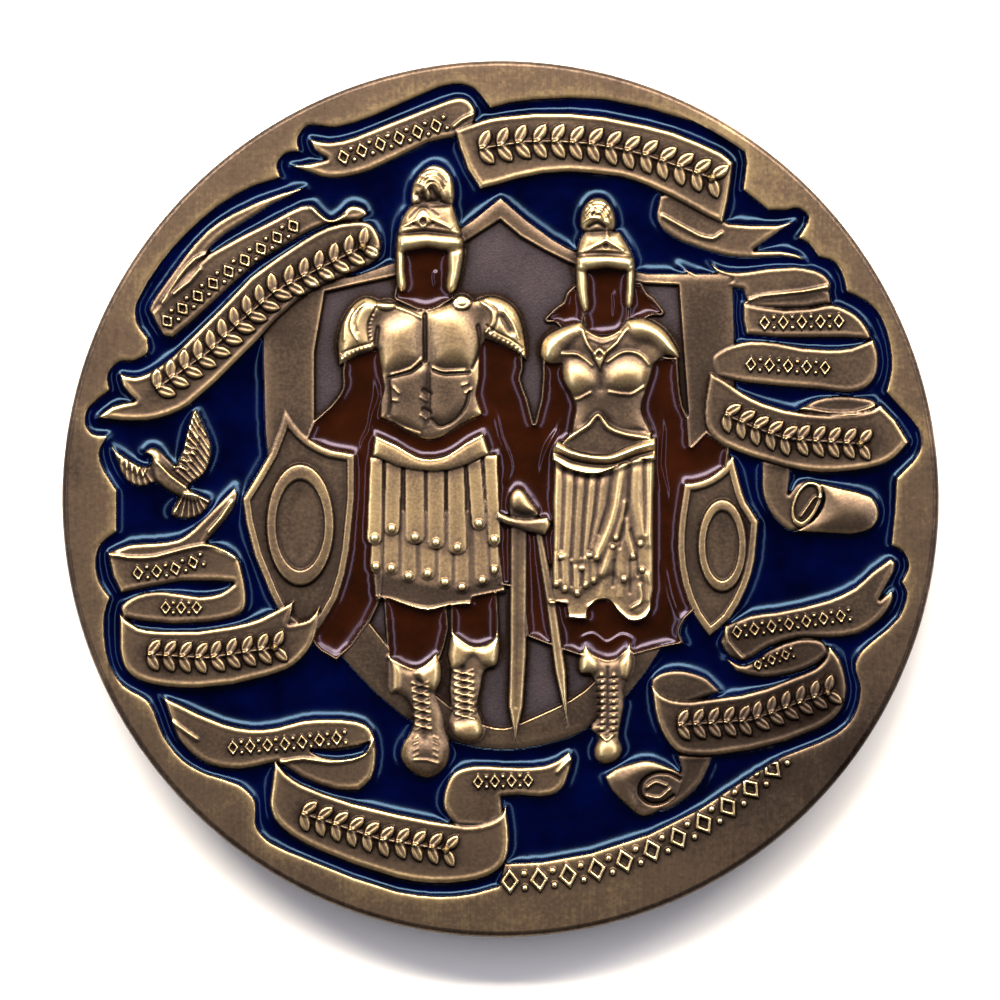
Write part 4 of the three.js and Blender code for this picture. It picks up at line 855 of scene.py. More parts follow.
# %% [markdown]
# ## The right figure
# The same tools make the second figure: a shaped breastplate with a pendant, a girdle, a pleated
# skirt whose folds hang from the waist, and one laced boot. The skirt is cloth on the real
# soldier, but metal here, so a cloth simulation would give it softer folds than a die can cut.

# %% Breastplate of the right figure
RIGHT = "right_figure"
slab(obverse, RIGHT, """2.5 9.3, 3.6 10, 4.7 10.3!, 5.2 9.7, 5.9 9.4, 6.7 9.7, 7.3 10.4!, 8.3 10.5,
    9.5 9.8, 10.3 8.6, 10.4 8.1!, 9.6 8.3, 8.9 7.8!, 8.7 7, 8.4 6.1, 8.2 5.2, 8.5 4.4, 8.8 3.8!,
    7.6 3.7, 6.6 3.9, 5.7 4.7, 4.9 3.9, 4 3.5!, 4.2 4.6, 4.3 5.4, 4 6.2, 3.6 6.9, 3.5 7.8!, 2.8 7.8,
    2.3 8.3""", 3.6, roll=0.6, drop=0.2)
for outline, rise, reach in (
    ("2.3 8.2, 2.5 9.2, 3.5 10, 4.6 10.35!, 4.75 9.7, 4.1 9, 3.3 8.1, 2.7 7.75", 0.34, 0.9),
    ("""7.35 10.45!, 8.3 10.55, 9.5 9.9, 10.3 8.7, 10.4 8.05!, 9.6 8.4, 8.7 9, 7.8 9.2, 7.3 9.8""",
        0.38, 1.0),
    ("3.55 7.4, 4.1 8, 5 7.95, 5.6 7.35, 5.7 6.7, 5.1 6.15, 4.2 6, 3.6 6.5", 0.36, 1.1),
    ("5.95 7.4, 6.6 8.1, 7.6 8.25, 8.4 7.7, 8.5 6.9, 7.9 6.3, 6.8 6.15, 6 6.6", 0.38, 1.15),
):
    mound(obverse, RIGHT, outline, rise, reach)
slab(obverse, RIGHT, """3.7 3.4!, 4.2 3.95, 5 4.5, 5.65 5.2!, 6.35 4.4, 7.5 4.1, 8.8 3.9!, 8.7 3.3!,
    5.5 2.3, 3.4 3.1!""", 3.58, roll=0.3, drop=0.06)
for stroke, width, rise in (
    ("4.75 9.8, 5 9, 5.45 8.4", 0.26, 0.15),
    ("7.25 9.8, 6.7 9, 6 8.4", 0.26, 0.15),
    ("3.5 6.1, 4.3 5.75, 5.2 6.15", 0.22, 0.1),
    ("6.3 6.2, 7.5 6.05, 8.3 6.5", 0.22, 0.1),
    ("3.6 8.4, 4.5 8.35, 5.3 7.75", 0.26, 0.13),
    ("6.2 7.95, 7.1 8.5, 8 8.4, 8.6 7.8", 0.26, 0.13),
    ("3.6 3.35, 4.2 3.7, 5.05 4.25, 5.65 4.85, 6.3 4.1, 7.4 3.7, 8.7 3.5", 0.36, 0.2),
    ("5.8 7.3, 5.8 6.4", 0.4, -0.05),
    ("5 9.7, 5.9 9.35, 6.9 9.7", 0.18, 0.08),
    ("5.1 9.2, 5.9 8.9, 6.7 9.2", 0.14, -0.06),
):
    line(obverse, stroke, width, rise)
mound(obverse, RIGHT, "5.3 8.5, 5.72 8.85, 6.15 8.5, 6.05 8, 5.75 7.4!, 5.4 8", 0.22, reach=0.25)
stud(obverse, 5.72, 8.35, 0.2, -0.14)
obverse.report(RIGHT)

# %% Girdle and pleated skirt
slab(obverse, RIGHT, """3.3 3.4!, 4 3, 5.2 2.7, 6.3 2.7, 7.3 3.2, 8.3 3.6, 9 3.6!, 9 2, 8.9 0,
    8.9 -3, 8.9 -5.2, 8.7 -6.4!, 8.4 -6.9, 7.6 -7.1, 6.9 -6.6, 6.3 -5.9, 5.6 -5.9, 5.1 -6.3!, 5 -7!,
    3.9 -6.9!, 3.8 -6.1!, 2.8 -5.9!, 3 -3, 3 0, 3.1 2.3""", 3.48, roll=0.3, drop=0.1)
mound(obverse, RIGHT, """3 2, 3.8 1.6, 4.8 1.3, 5.8 1.3, 6.8 1.8, 7.8 2.1, 8.8 2.1, 8.9 0, 8.9 -3,
    8.8 -5, 7.9 -4.6, 7.2 -5, 6.4 -4.4, 5.5 -5, 4.5 -5.6, 3.6 -5.3, 3 -4.9, 3 -2""", 0.12,
    reach=0.6)
PLEATS = (
    ("3.35 2.5, 3.25 -0.5, 3.2 -2.8", 0.5, 0.05),
    ("4.1 2.3, 3.95 -1, 3.8 -3.2", 0.55, 0.08),
    ("4.75 2.2, 4.5 -1, 4.4 -3.5", 0.5, 0.06),
    ("5.4 2.1, 5.15 -1, 4.9 -3.4", 0.5, 0.09),
    ("6.1 2.1, 5.75 -1, 5.3 -2.8", 0.5, 0.06),
    ("7.1 2.4, 6.7 -0.4, 6.2 -2, 5.6 -3.3", 0.66, 0.22),
    ("7.2 -0.2, 7 -1.2, 6.65 -2.3", 0.34, 0.1),
    ("7.9 2.5, 7.85 -0.3, 8.2 -2", 0.8, 0.16),
    ("8.7 2.4, 8.65 -0.6, 8.65 -2.6", 0.5, 0.1),
    ("7.25 -1.2, 7.4 -2.4, 7.65 -3.2", 0.36, 0.08),
    ("6.45 -2.8, 6.2 -3.5, 5.95 -4.3", 0.55, 0.16),
    ("6.9 -2.6, 6.95 -4.2, 6.9 -5.6", 0.4, 0.05),
    ("7.9 -4.6, 7.9 -6.4", 0.5, 0.06),
    ("8.5 -4.4, 8.5 -5.8", 0.4, 0.06),
    ("6 -4.8, 5.8 -5.6", 0.5, 0.05),
    ("3.15 -3.2, 3.2 -4.9", 0.4, 0.07),
    ("3.7 -3.4, 3.76 -5.2", 0.42, 0.07),
    ("4.35 -4, 4.43 -5.45", 0.42, 0.08),
    ("4.95 -3.5, 4.98 -4.9", 0.4, 0.07),
    ("5.35 -3.6, 5.4 -4.65", 0.34, 0.07),
    ("8.1 -5, 8.15 -5.9, 7.6 -6.3", 0.24, 0.14),
)
for stroke, width, rise in PLEATS:
    line(obverse, stroke, width, rise)
for stroke in (
    "3.7 2.2, 3.6 -1, 3.5 -2.9", "4.4 2, 4.25 -1, 4.1 -3.4", "5.05 1.9, 4.82 -1, 4.68 -3.3",
    "5.75 1.8, 5.45 -1, 5.1 -2.9", "6.5 2, 6.2 -0.4, 5.7 -2",
    "7.5 2.2, 7.35 -0.6, 7.1 -1.8, 6.9 -2.8", "8.35 2.2, 8.4 -0.8, 8.4 -2",
    "7.55 -1.8, 7.9 -3, 7.95 -4.4", "3.4 -3.6, 3.45 -4.6", "4.1 -3.8, 4.1 -5", "4.75 -4.3, 4.7 -5",
    "6.6 -3.6, 6.5 -5", "7.5 -3.6, 7.5 -5.4",
):
    line(obverse, stroke, 0.24, -0.07)
for x, y in (
    (3.5, -3.35), (4.7, -4), (5.15, -3.25), (5.55, -3.4), (6.7, -2.25), (6.5, -2.75), (7.7, -3.35),
    (8.1, -2.6), (3.2, -4.95), (3.7, -5.25), (4.45, -5.5), (4.9, -5), (5.4, -4.75), (7.15, -4.65),
    (8.2, -4.1),
):
    stud(obverse, x, y, 0.19, 0.15)
slab(obverse, RIGHT, """3 2.9!, 3.3 3.4!, 4.2 2.9, 5.3 2.6, 6.3 2.65, 7.3 3.1, 8.4 3.5, 9 3.6!,
    9 2.2!, 7.8 2.3, 6.8 1.9, 5.8 1.45, 4.8 1.45, 3.8 1.75, 3 2.25!""", 3.78, roll=0.4, drop=0.12)
for stroke, width, rise in (
    ("3.2 3.1, 4 2.7, 5.3 2.42, 6.5 2.4, 7.8 2.9, 8.9 3.2", 0.42, 0.17),
    ("3.2 2.65, 4.1 2.22, 5.4 1.97, 6.6 2, 7.8 2.45, 8.8 2.75", 0.3, -0.18),
    ("3.1 2.2, 4 1.72, 5.3 1.45, 6.5 1.7, 7.6 2.15, 8.8 2.35", 0.42, 0.18),
    ("2.9 -5.98, 3.8 -6.02", 0.26, 0.16),
    ("3.95 -6.9, 5 -6.9", 0.3, 0.18),
    ("""5.15 -6.25, 5.6 -5.98, 6 -5.92, 6.4 -6.1, 6.9 -6.6, 7.4 -6.98, 8.1 -6.98, 8.55 -6.65,
        8.85 -6.2""", 0.34, 0.2),
):
    line(obverse, stroke, width, rise)
obverse.report(RIGHT)

# %% The right figure's boot
slab(obverse, RIGHT, """4.9 -8.4!, 5.3 -8.9, 6.2 -9.3, 7 -9, 7.5 -8.3!, 7.8 -9.3, 7.6 -10.3,
    7.2 -11, 7.2 -12, 7 -13, 6.9 -13.8, 7.1 -14.5, 6.8 -15.1, 6.1 -15.4, 5.5 -15.1, 5.4 -14.5,
    5.6 -13.8, 5.2 -13.3, 5.6 -12.5, 5.5 -11, 5.2 -10.2, 4.6 -10.1, 4.5 -9.3""", 3.5, roll=0.6,
    drop=0.22)
for outline, rise, reach in (
    ("4.9 -8.4!, 5.5 -9, 5.7 -9.6, 5.4 -10.2, 4.6 -10.1, 4.5 -9.3", 0.18, 0.5),
    ("7.5 -8.3!, 7 -9, 6.8 -9.6, 6.9 -10.3, 7.4 -10.5, 7.8 -9.5", 0.18, 0.5),
    (oval(6.2, -14.6, 0.85, 0.8), 0.24, 0.7),
):
    mound(obverse, RIGHT, outline, rise, reach)
for stroke, width, rise in (
    ("4.95 -8.4, 5.5 -9, 6.2 -9.3, 7 -8.95, 7.45 -8.35", 0.28, 0.14),
    ("5.8 -13.7, 6.15 -13.95, 6.5 -13.7", 0.2, 0.12),
    ("6.2 -9.8, 6.2 -11.5, 6.2 -13.3", 0.26, -0.08),
):
    line(obverse, stroke, width, rise)
for i in range(9):
    for x in (5.85, 6.55):
        stud(obverse, x + 0.03 * (i % 2), -10.2 - 0.39 * i, 0.13, 0.09)
        crease = [[x - 0.22, -10.4 - 0.39 * i], [x + 0.22, -10.35 - 0.39 * i]]
        line(obverse, np.array(crease), 0.12, -0.06)
obverse.report(RIGHT)

# %% [markdown]
# ## Helmets
# A helmet is a dome with a brow band, two long cheek pieces and a rolled crest. A turned dome
# would stand far too high, so each is a few low mounds. The opening is left as a brown pool, and
# there is no face behind it.

# %% The left helmet and its crest
slab(obverse, LEFT, """-5.05 17.15!, -5.5 16.7, -5.8 16.1, -5.98 15.4, -6.05 14.6, -6.08 13.5,
    -6.02 12.4, -5.75 11.95, -5.42 12.2, -5.5 13.2, -5.53 14.2!, -4.3 14.45, -3.12 14.2!,
    -3.12 13.2, -3.2 12.3, -2.95 11.85, -2.5 12.2, -2.2 13.5, -2.1 14.5, -2.2 15.4, -2.5 16.3,
    -2.75 17.1!, -4 17.3""", 3.56, roll=0.5, drop=0.2)
for outline, rise, reach in (
    ("""-5.2 17, -5.6 16.5, -5.85 15.9, -6 15.2, -4.2 15.3, -2.2 15.1, -2.45 16.2, -2.75 17,
        -4 17.3""", 0.3, 1.3),
    ("""-6.1 14.5, -6.05 15.25, -5.2 15.45, -4.2 15.5, -3.1 15.4, -2.15 15.15, -2.1 14.6, -3.1 14.3,
        -4.2 14.45, -5.5 14.25""", 0.42, 0.55),
    ("-6.1 14.5, -6.12 13.5, -6.04 12.4, -5.75 11.95, -5.4 12.2, -5.48 13.2, -5.5 14.4", 0.2, 0.4),
    ("-3.15 14.4, -3.12 13.2, -3.2 12.3, -2.95 11.85, -2.5 12.2, -2.15 13.5, -2.1 14.5", 0.24, 0.5),
):
    mound(obverse, LEFT, outline, rise, reach)
slab(obverse, LEFT, """-5.1 17, -5.15 18, -4.75 18.8, -4 19.35, -3.3 19.2, -2.75 18.5, -2.65 17.5,
    -2.75 16.95!, -4 17.2""", 3.62, roll=0.6, drop=0.2)
mound(obverse, LEFT, """-5.15 17.1, -5.2 18, -4.75 18.85, -4 19.35, -3.3 19.25, -2.75 18.5,
    -2.6 17.4, -4 17.2""", 0.22, reach=0.9)
for stroke, width, rise in (
    ("-4.8 17.6, -4.5 17.35, -4.55 17.65", 0.42, -0.2),
    ("-4 17.9, -3.75 17.6, -3.6 17.4", 0.4, -0.16),
    ("-3.5 18.8, -3.3 18.5, -3.3 18.1", 0.36, -0.09),
    ("-5 18.3, -4.5 18.2, -4.2 17.8, -4.2 17.3", 0.26, 0.1),
    ("-4.7 18.8, -3.9 18.5, -3.4 17.9, -3.3 17.4", 0.3, 0.08),
    ("-3 18.8, -2.9 18.2, -2.9 17.5", 0.24, 0.05),
    ("-5.1 17.05, -4 16.95, -2.8 17.05", 0.18, -0.07),
    ("-5.75 15.75, -5 16.1, -4.5 16.65, -4 16.2, -2.9 15.7", 0.22, 0.1),
    ("-5.3 16.3, -4.5 17, -3.6 16.4", 0.14, -0.06),
    ("-5.9 15.55, -4.3 15.7, -2.4 15.45", 0.24, 0.07),
    ("-5.95 15.32, -4.3 15.45, -2.25 15.2", 0.15, -0.09),
):
    line(obverse, stroke, width, rise)
mound(obverse, LEFT, "-4.48 16.65!, -5.05 16.05!, -4.5 15.6!, -3.95 16.05!", 0.12, reach=0.2)
stud(obverse, -4.48, 16.07, 0.22, -0.18)
stud(obverse, -5.05, 15.9, 0.12, -0.08)
stud(obverse, -3.9, 15.95, 0.12, -0.08)
obverse.report(LEFT)

# %% The right helmet and both crests' strands
slab(obverse, RIGHT, """4.85 15.5!, 4.55 15, 4.4 14.3, 4.33 13.4, 4.36 12.2, 4.55 11.3, 4.85 10.8,
    5.14 11, 5.12 12, 5.07 13.1!, 6.2 13.3, 7.25 13.1!, 7.22 12.2, 7.2 11.3, 7.42 10.98, 7.68 11.3,
    7.8 12.4, 7.82 13.5, 7.65 14.2, 7.3 14.9, 6.9 15.5!, 5.8 15.6""", 3.56, roll=0.5, drop=0.2)
for outline, rise, reach in (
    ("4.9 15.4, 4.6 14.9, 4.4 14.1, 6 14.15, 7.65 14, 7.3 14.8, 6.9 15.4, 5.9 15.6", 0.28, 1.1),
    ("""4.3 13.4, 4.38 14.1, 6 14.25, 7.7 14.05, 7.82 13.4, 7.2 13.15, 6.1 13.3, 5.05 13.15""",
        0.38, 0.48),
    ("4.3 13.5, 4.36 12.2, 4.55 11.3, 4.85 10.8, 5.16 11, 5.14 12, 5.08 13.3", 0.2, 0.42),
    ("7.84 13.5, 7.8 12.4, 7.7 11.3, 7.42 10.98, 7.2 11.3, 7.22 12.2, 7.25 13.3", 0.2, 0.35),
):
    mound(obverse, RIGHT, outline, rise, reach)
slab(obverse, RIGHT, """4.6 16.2, 4.8 16.9, 5.3 17.38, 5.95 17.4, 6.45 16.9, 6.68 16.2, 6.6 15.6,
    6 15.4, 5.2 15.4, 4.7 15.6""", 3.62, roll=0.6, drop=0.2)
mound(obverse, RIGHT, """4.6 16.2, 4.8 16.9, 5.3 17.38, 5.95 17.4, 6.45 16.9, 6.7 16.2, 6.6 15.6,
    6 15.4, 5.2 15.4, 4.7 15.6""", 0.24, reach=0.9)
for stroke, width, rise in (
    ("5.1 15.75, 5.6 15.95, 6.05 15.75", 0.32, -0.16),
    ("6.1 16.1, 6.15 15.5, 6.2 15.2", 0.22, 0.1),
    ("4.9 16.4, 5.2 16.7, 5.7 16.6", 0.22, 0.1),
    ("5.1 17, 5.6 16.9, 6.1 16.5, 6.3 16", 0.22, 0.08),
    ("4.75 16, 5.2 16.3, 5.7 16.25", 0.2, 0.08),
    ("5.3 17.2, 5.5 16.75, 5.3 16.45", 0.16, -0.08),
    ("6.2 17, 6 16.7, 6.3 16.3", 0.16, -0.08),
    ("5 14.4, 5.8 14.8, 6.1 15, 6.5 14.75, 7.1 14.4", 0.2, 0.1),
    ("4.5 14.32, 6 14.42, 7.5 14.25", 0.2, 0.07),
    ("4.4 14.05, 6 14.15, 7.65 14", 0.14, -0.08),
):
    line(obverse, stroke, width, rise)
stud(obverse, 6.1, 14.65, 0.17, -0.12)
for x, y, size in ((-3.95, 17.75, 1.0), (5.65, 16.15, 0.86)):
    for i, share in enumerate((0.4, 0.6, 0.8, 1.0, 1.2)):
        bow = np.radians(np.linspace(10 + 8 * i, 168 - 6 * i, 14))
        across, up = share * size * np.cos(bow), 1.25 * share * size * np.sin(bow)
        line(obverse, np.stack([x + across, y + up], axis=1), 0.13, 0.06)
print("highest point", round(float(obverse.height.max()), 2), "mm")

# %% [markdown]
# ## Enamel
# Liquid enamel climbs a little where it touches metal and bakes in that shape. A fluid
# simulation could find that surface, but a parabola comes close: it is steepest at the wall and
# runs out flat REACH millimetres away. So the tool needs each point's distance from the nearest
# wall, which it finds along the rows first and then across them. The enamel also laps SPILL over
# the foot of the wall. This curved margin draws the thin lines of light round every shape. Under
# the brown enamel lie the soft ridges of arms, cloth and chins.

# %% Enamel surface with its raised margins
CLIMB = 0.27
REACH = 0.82
SPILL = 0.13


def millimetres_to(mask, pitch, reach):
    steps = math.ceil(reach / pitch) + 1
    run = np.where(mask, 0.0, steps)
    for _ in range(steps):
        run[:, 1:] = np.minimum(run[:, 1:], run[:, :-1] + 1)
        run[:, :-1] = np.minimum(run[:, :-1], run[:, 1:] + 1)
    nearest = run**2
    for k in range(1, steps):
        nearest[k:] = np.minimum(nearest[k:], run[:-k] ** 2 + k * k)
        nearest[:-k] = np.minimum(nearest[:-k], run[k:] ** 2 + k * k)
    return np.sqrt(nearest) * pitch


DRY = -9.0
level = np.where(brown_pool, BROWN_LEVEL, np.where(blue_pool, BLUE_LEVEL, DRY))
wet = obverse.height < level
into_pool = millimetres_to(~wet, obverse.pitch, 1.2) - millimetres_to(wet, obverse.pitch, 0.4)
into_pool = softened(into_pool, 9)
rise = np.where(brown_pool, 0.9 * CLIMB, CLIMB) * (1 - into_pool / REACH).clip(0, 1.15) ** 2
enamel = Die(FINE_PITCH, DRY, "none")
enamel.height = np.where(into_pool > -SPILL, level + rise, DRY)
LIMBS = (
    "-7.3 7.1, -7.1 6, -7.4 5, -7.6 4, -8 3.2, -8 1.8",
    "-0.75 6.2, -0.3 5, 0 3.6, 0.4 2.7, 0.6 1.8, 0.35 1", "3.5 4.6, 3.3 4, 2.8 3.2, 2.4 2, 2.3 0.6",
    "9.2 5.6, 9.4 4, 9.3 2, 9.6 0.6, 9.7 -1", "9.4 -3.5, 9.8 -5.5, 10.3 -7",
    "-3.75 13.3, -3.8 12.8, -3.7 12.2", "6.6 12.2, 6.65 11.2, 6.6 10.4",
    "4.5 -8.1, 5.3 -7.85, 6.15 -8.35, 7.1 -7.9, 7.9 -8.2",
)
for stroke in LIMBS:
    line(enamel, stroke, 0.4, 0.1, taper=True)
print("wet area", round(wet.sum() * obverse.pitch**2), "mm2")

# %% [markdown]
# ## Which enamel cell is which
# The frame has one node for each poured cell. A cell's top faces are drawn on the die as
# triangles, and every wet point takes the name of the cell below it. Slivers that the frame
# leaves empty join the cell next to them.

# %% Name the wet points after the cells of the frame
CELLS = sorted(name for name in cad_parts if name.startswith("enamel_"))
cell = np.full(level.shape, -1)
for number, name in enumerate(CELLS):
    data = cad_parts[name].data
    spots = np.array([v.co for v in data.vertices]) * 1000
    for face in data.polygons:
        if face.normal.z < 0.9:
            continue
        a, b, c = (spots[i][:2] for i in face.vertices[:3])
        box = obverse.window(np.array([a, b, c]), 0.0)
        px, py = obverse.x[box], obverse.y[box]
        inside = np.ones(px.shape, bool)
        for p, q in ((a, b), (b, c), (c, a)):
            inside &= (q[0] - p[0]) * (py - p[1]) - (q[1] - p[1]) * (px - p[0]) >= -1e-9
        cell[box][inside] = number
is_brown = np.array(["blue" not in name for name in CELLS] + [False])
cell[~wet | (is_brown[cell] != brown_pool)] = -1
for _ in range(60):
    for axis_number in (0, 1):
        for shift in (-1, 1):
            beside = np.roll(cell, shift, axis_number)
            free = (cell < 0) & (beside >= 0) & (is_brown[beside] == brown_pool)
            cell[free] = beside[free]
print("cells", len(CELLS), "wet points without a cell", int(((cell < 0) & wet).sum()))

# %% [markdown]
# ## Antique finish
# After plating, a coin is dipped in a darkening bath and then rubbed, so the recesses stay dark
# and the proud edges turn bright. Blender's Pointiness shows edges too, but only as wide as the
# nearest faces, so the rubbing is worked out here and stored on each point. A point's share is
# how far it stands above the average height around it, over a narrow and a wide circle. Listed
# soft patches take from that share or add to it, and broad painted light and shade lies over the
# coin: lighter towards the top, the top right and the bottom, darker at the lower right.

# %% How much each point was rubbed bright
visible = np.maximum(obverse.height, enamel.height)
near_mean = softened(visible, 12)
wide_mean = softened(near_mean, 110)
painted_light_and_patches = np.zeros(visible.shape)
for points, amount in (
    ("""-7.3 -4.2!, -5 -4.8, -3 -5.2, -1.5 -5, 0.1 -4.4!, 0.2 -5.2!, -1.7 -5.9!, -4.2 -6.3,
        -7.2 -5.6!""", -0.28),
    ("-6.6 7.1, -4.3 7.4, -1.8 7.3, -1.4 5, -4.3 3.5, -6.9 4.8", -0.2),
    ("-7.3 3.5!, -4.2 2.2, -1 3.6!, -0.7 2.7, -4.3 1.7, -7.4 2.5!", -0.12),
    (oval(-4.38, -14.9, 1.2, 1.1), -0.24),
    (oval(-2.1, -13.2, 0.8, 0.7), -0.08),
    (oval(6.2, -14.6, 0.7, 0.65), -0.1),
    ("-5.6 -10.4, -4 -10.6, -3.8 -13.5, -5 -13.6", -0.1),
    ("-3 -9.8, -1.2 -9.8, -1.2 -12.6, -2.8 -12.6", -0.08),
    ("5.3 -9.8, 7.1 -9.8, 6.9 -13.6, 5.6 -13.6", -0.1),
    ("4.2 6, 5.8 6, 8.2 6, 8.3 4, 5.7 4.6, 4.2 3.8", -0.16),
    ("4 3.4, 5.6 4.4, 7.8 3.6, 5.6 2.8", -0.1),
    ("3.2 9.2, 4.6 9, 5.8 9.3, 7 9, 8.2 9, 7.4 8.3, 5.8 8.6, 4.2 8.2", -0.12),
    ("-5.4 16.8, -4.3 16.9, -2.9 16.8, -2.6 16.1, -4.4 16.7, -5.6 16", -0.16),
    ("4.9 15.3, 6 15.4, 7 15.2, 7.3 14.7, 6.1 15.1, 4.8 14.6", -0.16),
    (oval(-3.95, 18.1, 1.1, 1.1), -0.12),
    (oval(5.65, 16.4, 0.9, 0.9), -0.12),
    ("-7.4 2!, -4.2 1.3, -0.6 2!, -0.1 -2, 0 -4.4!, -4 -5, -7.3 -4.4!, -7.6 -1", 0.06),
    ("3.1 1.4, 8.8 1.8, 8.8 -5, 3.1 -5", 0.03),
):
    spot, depth = obverse.depth(curve(points) if isinstance(points, str) else points)
    painted_light_and_patches[spot] += amount * ease((depth + 0.15) / 0.35)
# Broad painted light and shade over the whole coin: lighter towards the top, the top right, the bottom and
# the lower left, darker at the lower right and along the far left.
for x, y, spread, amount in (
    (19, -15, 6, -0.23), (0, -25, 7, 0.07), (3, 25, 8, 0.05), (17, 18, 5, 0.06), (-7, -19, 4, 0.05),
    (-24.5, 3, 5, -0.03),
):
    painted_light_and_patches += amount * np.exp(-((obverse.x - x) ** 2 + (obverse.y - y) ** 2) / spread**2)
DULLED = {"great_shield_border": -0.07, "ribbon_6": -0.07, "ribbon_5": -0.02, "swords": -0.06}
for name, amount in DULLED.items():
    painted_light_and_patches[obverse.owner == obverse.names.index(name)] += amount
# Share per point: height above the near and wide surroundings, plus the listed patches and the painted
# light and shade.
rub_and_painted_light = 0.33 + 2.8 * (visible - near_mean) + 1.4 * (visible - wide_mean) + painted_light_and_patches
tilt = np.hypot(*np.gradient(visible, obverse.pitch))
rub_and_painted_light = (rub_and_painted_light - 0.12 * (tilt - 0.6).clip(0, 2)).clip(0, 1)
# The thin walls round the brown pools are kept at most 0.42 bright.
on_pool_walls = obverse.owner == obverse.names.index("pool_walls")
rub_and_painted_light = np.where(on_pool_walls, rub_and_painted_light.clip(0, 0.42), rub_and_painted_light)
print("rub share", round(float(rub_and_painted_light[obverse.height > 3.3].mean()), 2))

# %% [markdown]
# ## From heights to meshes
# A piece is the part of the sheet that one owner holds. Where the sheet is flat, one large tile
# stands for many small ones, which saves most of the faces. The shading normals come straight
# from the slopes of the whole sheet, so neighbouring pieces meet without a seam.

# %% Tiles, pieces and their normals
def tiles(keep, fields):
    corners = []
    left = np.ascontiguousarray(keep)
    for size in (16, 8, 4, 2, 1):
        count = left.shape[0] // size
        blocks = left.reshape(count, size, count, size)
        whole = blocks.all(axis=(1, 3))
        for field, allowed in fields if size > 1 else ():
            a, b = field[:-1:size, :-1:size], field[:-1:size, size::size]
            c, d = field[size::size, :-1:size], field[size::size, size::size]
            for i in range(size + 1):
                for j in range(size + 1):
                    s, t = i / size, j / size
                    flat = (1 - s) * ((1 - t) * a + t * b) + s * ((1 - t) * c + t * d)
                    here = field[i : i + count * size : size, j : j + count * size : size]
                    whole &= np.abs(here - flat) < allowed
        rows, columns = np.nonzero(whole)
        corners.append(np.stack([rows * size, columns * size, np.full(rows.size, size)], axis=1))
        blocks.transpose(0, 2, 1, 3)[whole] = False
    return np.concatenate(corners)


def mesh_piece(name, places, faces, normals, rubbed):
    used, faces = np.unique(faces, return_inverse=True)
    faces = faces.reshape(-1, 4)
    mesh = bpy.data.meshes.new(name)
    mesh.vertices.add(used.size)
    mesh.vertices.foreach_set("co", (places[used] * 0.001).astype(np.float32).ravel())
    mesh.loops.add(faces.size)
    mesh.loops.foreach_set("vertex_index", faces.ravel().astype(np.int32))
    mesh.polygons.add(len(faces))
    mesh.polygons.foreach_set("loop_start", np.arange(0, faces.size, 4, dtype=np.int32))
    mesh.update(calc_edges=True)
    mesh.validate()
    mesh.polygons.foreach_set("use_smooth", np.ones(len(mesh.polygons), bool))
    mesh.normals_split_custom_set_from_vertices(normals[used].tolist())
    shares = mesh.attributes.new("rub_and_painted_light", "FLOAT", "POINT").data
    shares.foreach_set("value", rubbed[used].astype(np.float32))
    piece = bpy.data.objects.new(name, mesh)
    bpy.context.scene.collection.objects.link(piece)
    return piece


def sheet_piece(name, die, keep, rubbed, facing=1, fine=0.02, near=0.0006):
    slope_y, slope_x = np.gradient(die.height, die.pitch)
    grid = tiles(keep, ((die.height, near), (rubbed, 0.03), (slope_x, fine), (slope_y, fine)))
    width = die.x.shape[1]
    row, column, size = grid.T
    faces = np.stack([
        row * width + column, row * width + column + size,
        (row + size) * width + column + size, (row + size) * width + column,
    ], axis=1)[:, ::facing]
    normals = np.stack([-slope_x, -slope_y, np.ones_like(slope_x)], axis=-1)
    normals /= np.linalg.norm(normals, axis=-1, keepdims=True)
    flip = [1, 1, facing]
    places = np.stack([die.x, die.y, die.height], axis=-1) * flip
    normals = normals.reshape(-1, 3) * flip
    piece = mesh_piece(name, places.reshape(-1, 3), faces, normals, rubbed.ravel())
    print(name, 2 * len(piece.data.polygons), "triangles")
    return piece


def corners_of(values, pick):
    return pick(pick(values[:-1, :-1], values[:-1, 1:]), pick(values[1:, :-1], values[1:, 1:]))


print("the sheet has", obverse.height.size, "points")

# %% [markdown]
# ## Cutting the sheet into pieces
# Metal is kept where it rises out of the enamel, and enamel where it covers the metal, with one
# tile of overlap, so the waterline is where the two surfaces really cross. A Boolean would cut
# there too, but slowly on sheets this fine. The sheet stops at LAND_RADIUS, under the ring.

# %% Metal pieces and enamel cells
LAND_RADIUS = 24.9
metal_shows = corners_of(obverse.height - enamel.height, np.maximum) > -0.03
centre_far = corners_of(np.hypot(obverse.x, obverse.y), np.maximum)
metal_shows &= centre_far < LAND_RADIUS
pieces = {}
cell_owner = obverse.owner[:-1, :-1]
for number, name in enumerate(obverse.names):
    pieces[name] = sheet_piece(name, obverse, metal_shows & (cell_owner == number), rub_and_painted_light)
enamel_shows = corners_of(enamel.height - obverse.height, np.maximum) > 0
flat_rub = np.zeros(level.shape)
cell_number = corners_of(cell, np.maximum)
for number, name in enumerate(CELLS):
    keep = enamel_shows & (cell_number == number) & (corners_of(enamel.height, np.minimum) > 0)
    glaze = name + "_glaze"
    pieces[glaze] = sheet_piece(glaze, enamel, keep, flat_rub, fine=0.006, near=0.002)

# %% [markdown]
# ## Struck edge and reverse
# A square sheet can't end in a clean circle, so the outer edge is a turned ring: a flat strip
# that lies on the rim land, a soft shoulder, the side, and the same shoulder underneath. A
# screw modifier would turn the same profile, but by hand each point can take the rubbing of the
# land beside it. The reverse gets its own coarser die, with a sandblasted field, the shield
# again and a laurel wreath.

# %% The rounded outer edge
STRIP_INNER = 24.6
STRIP_OUTER = 24.8
SHOULDER = 0.34


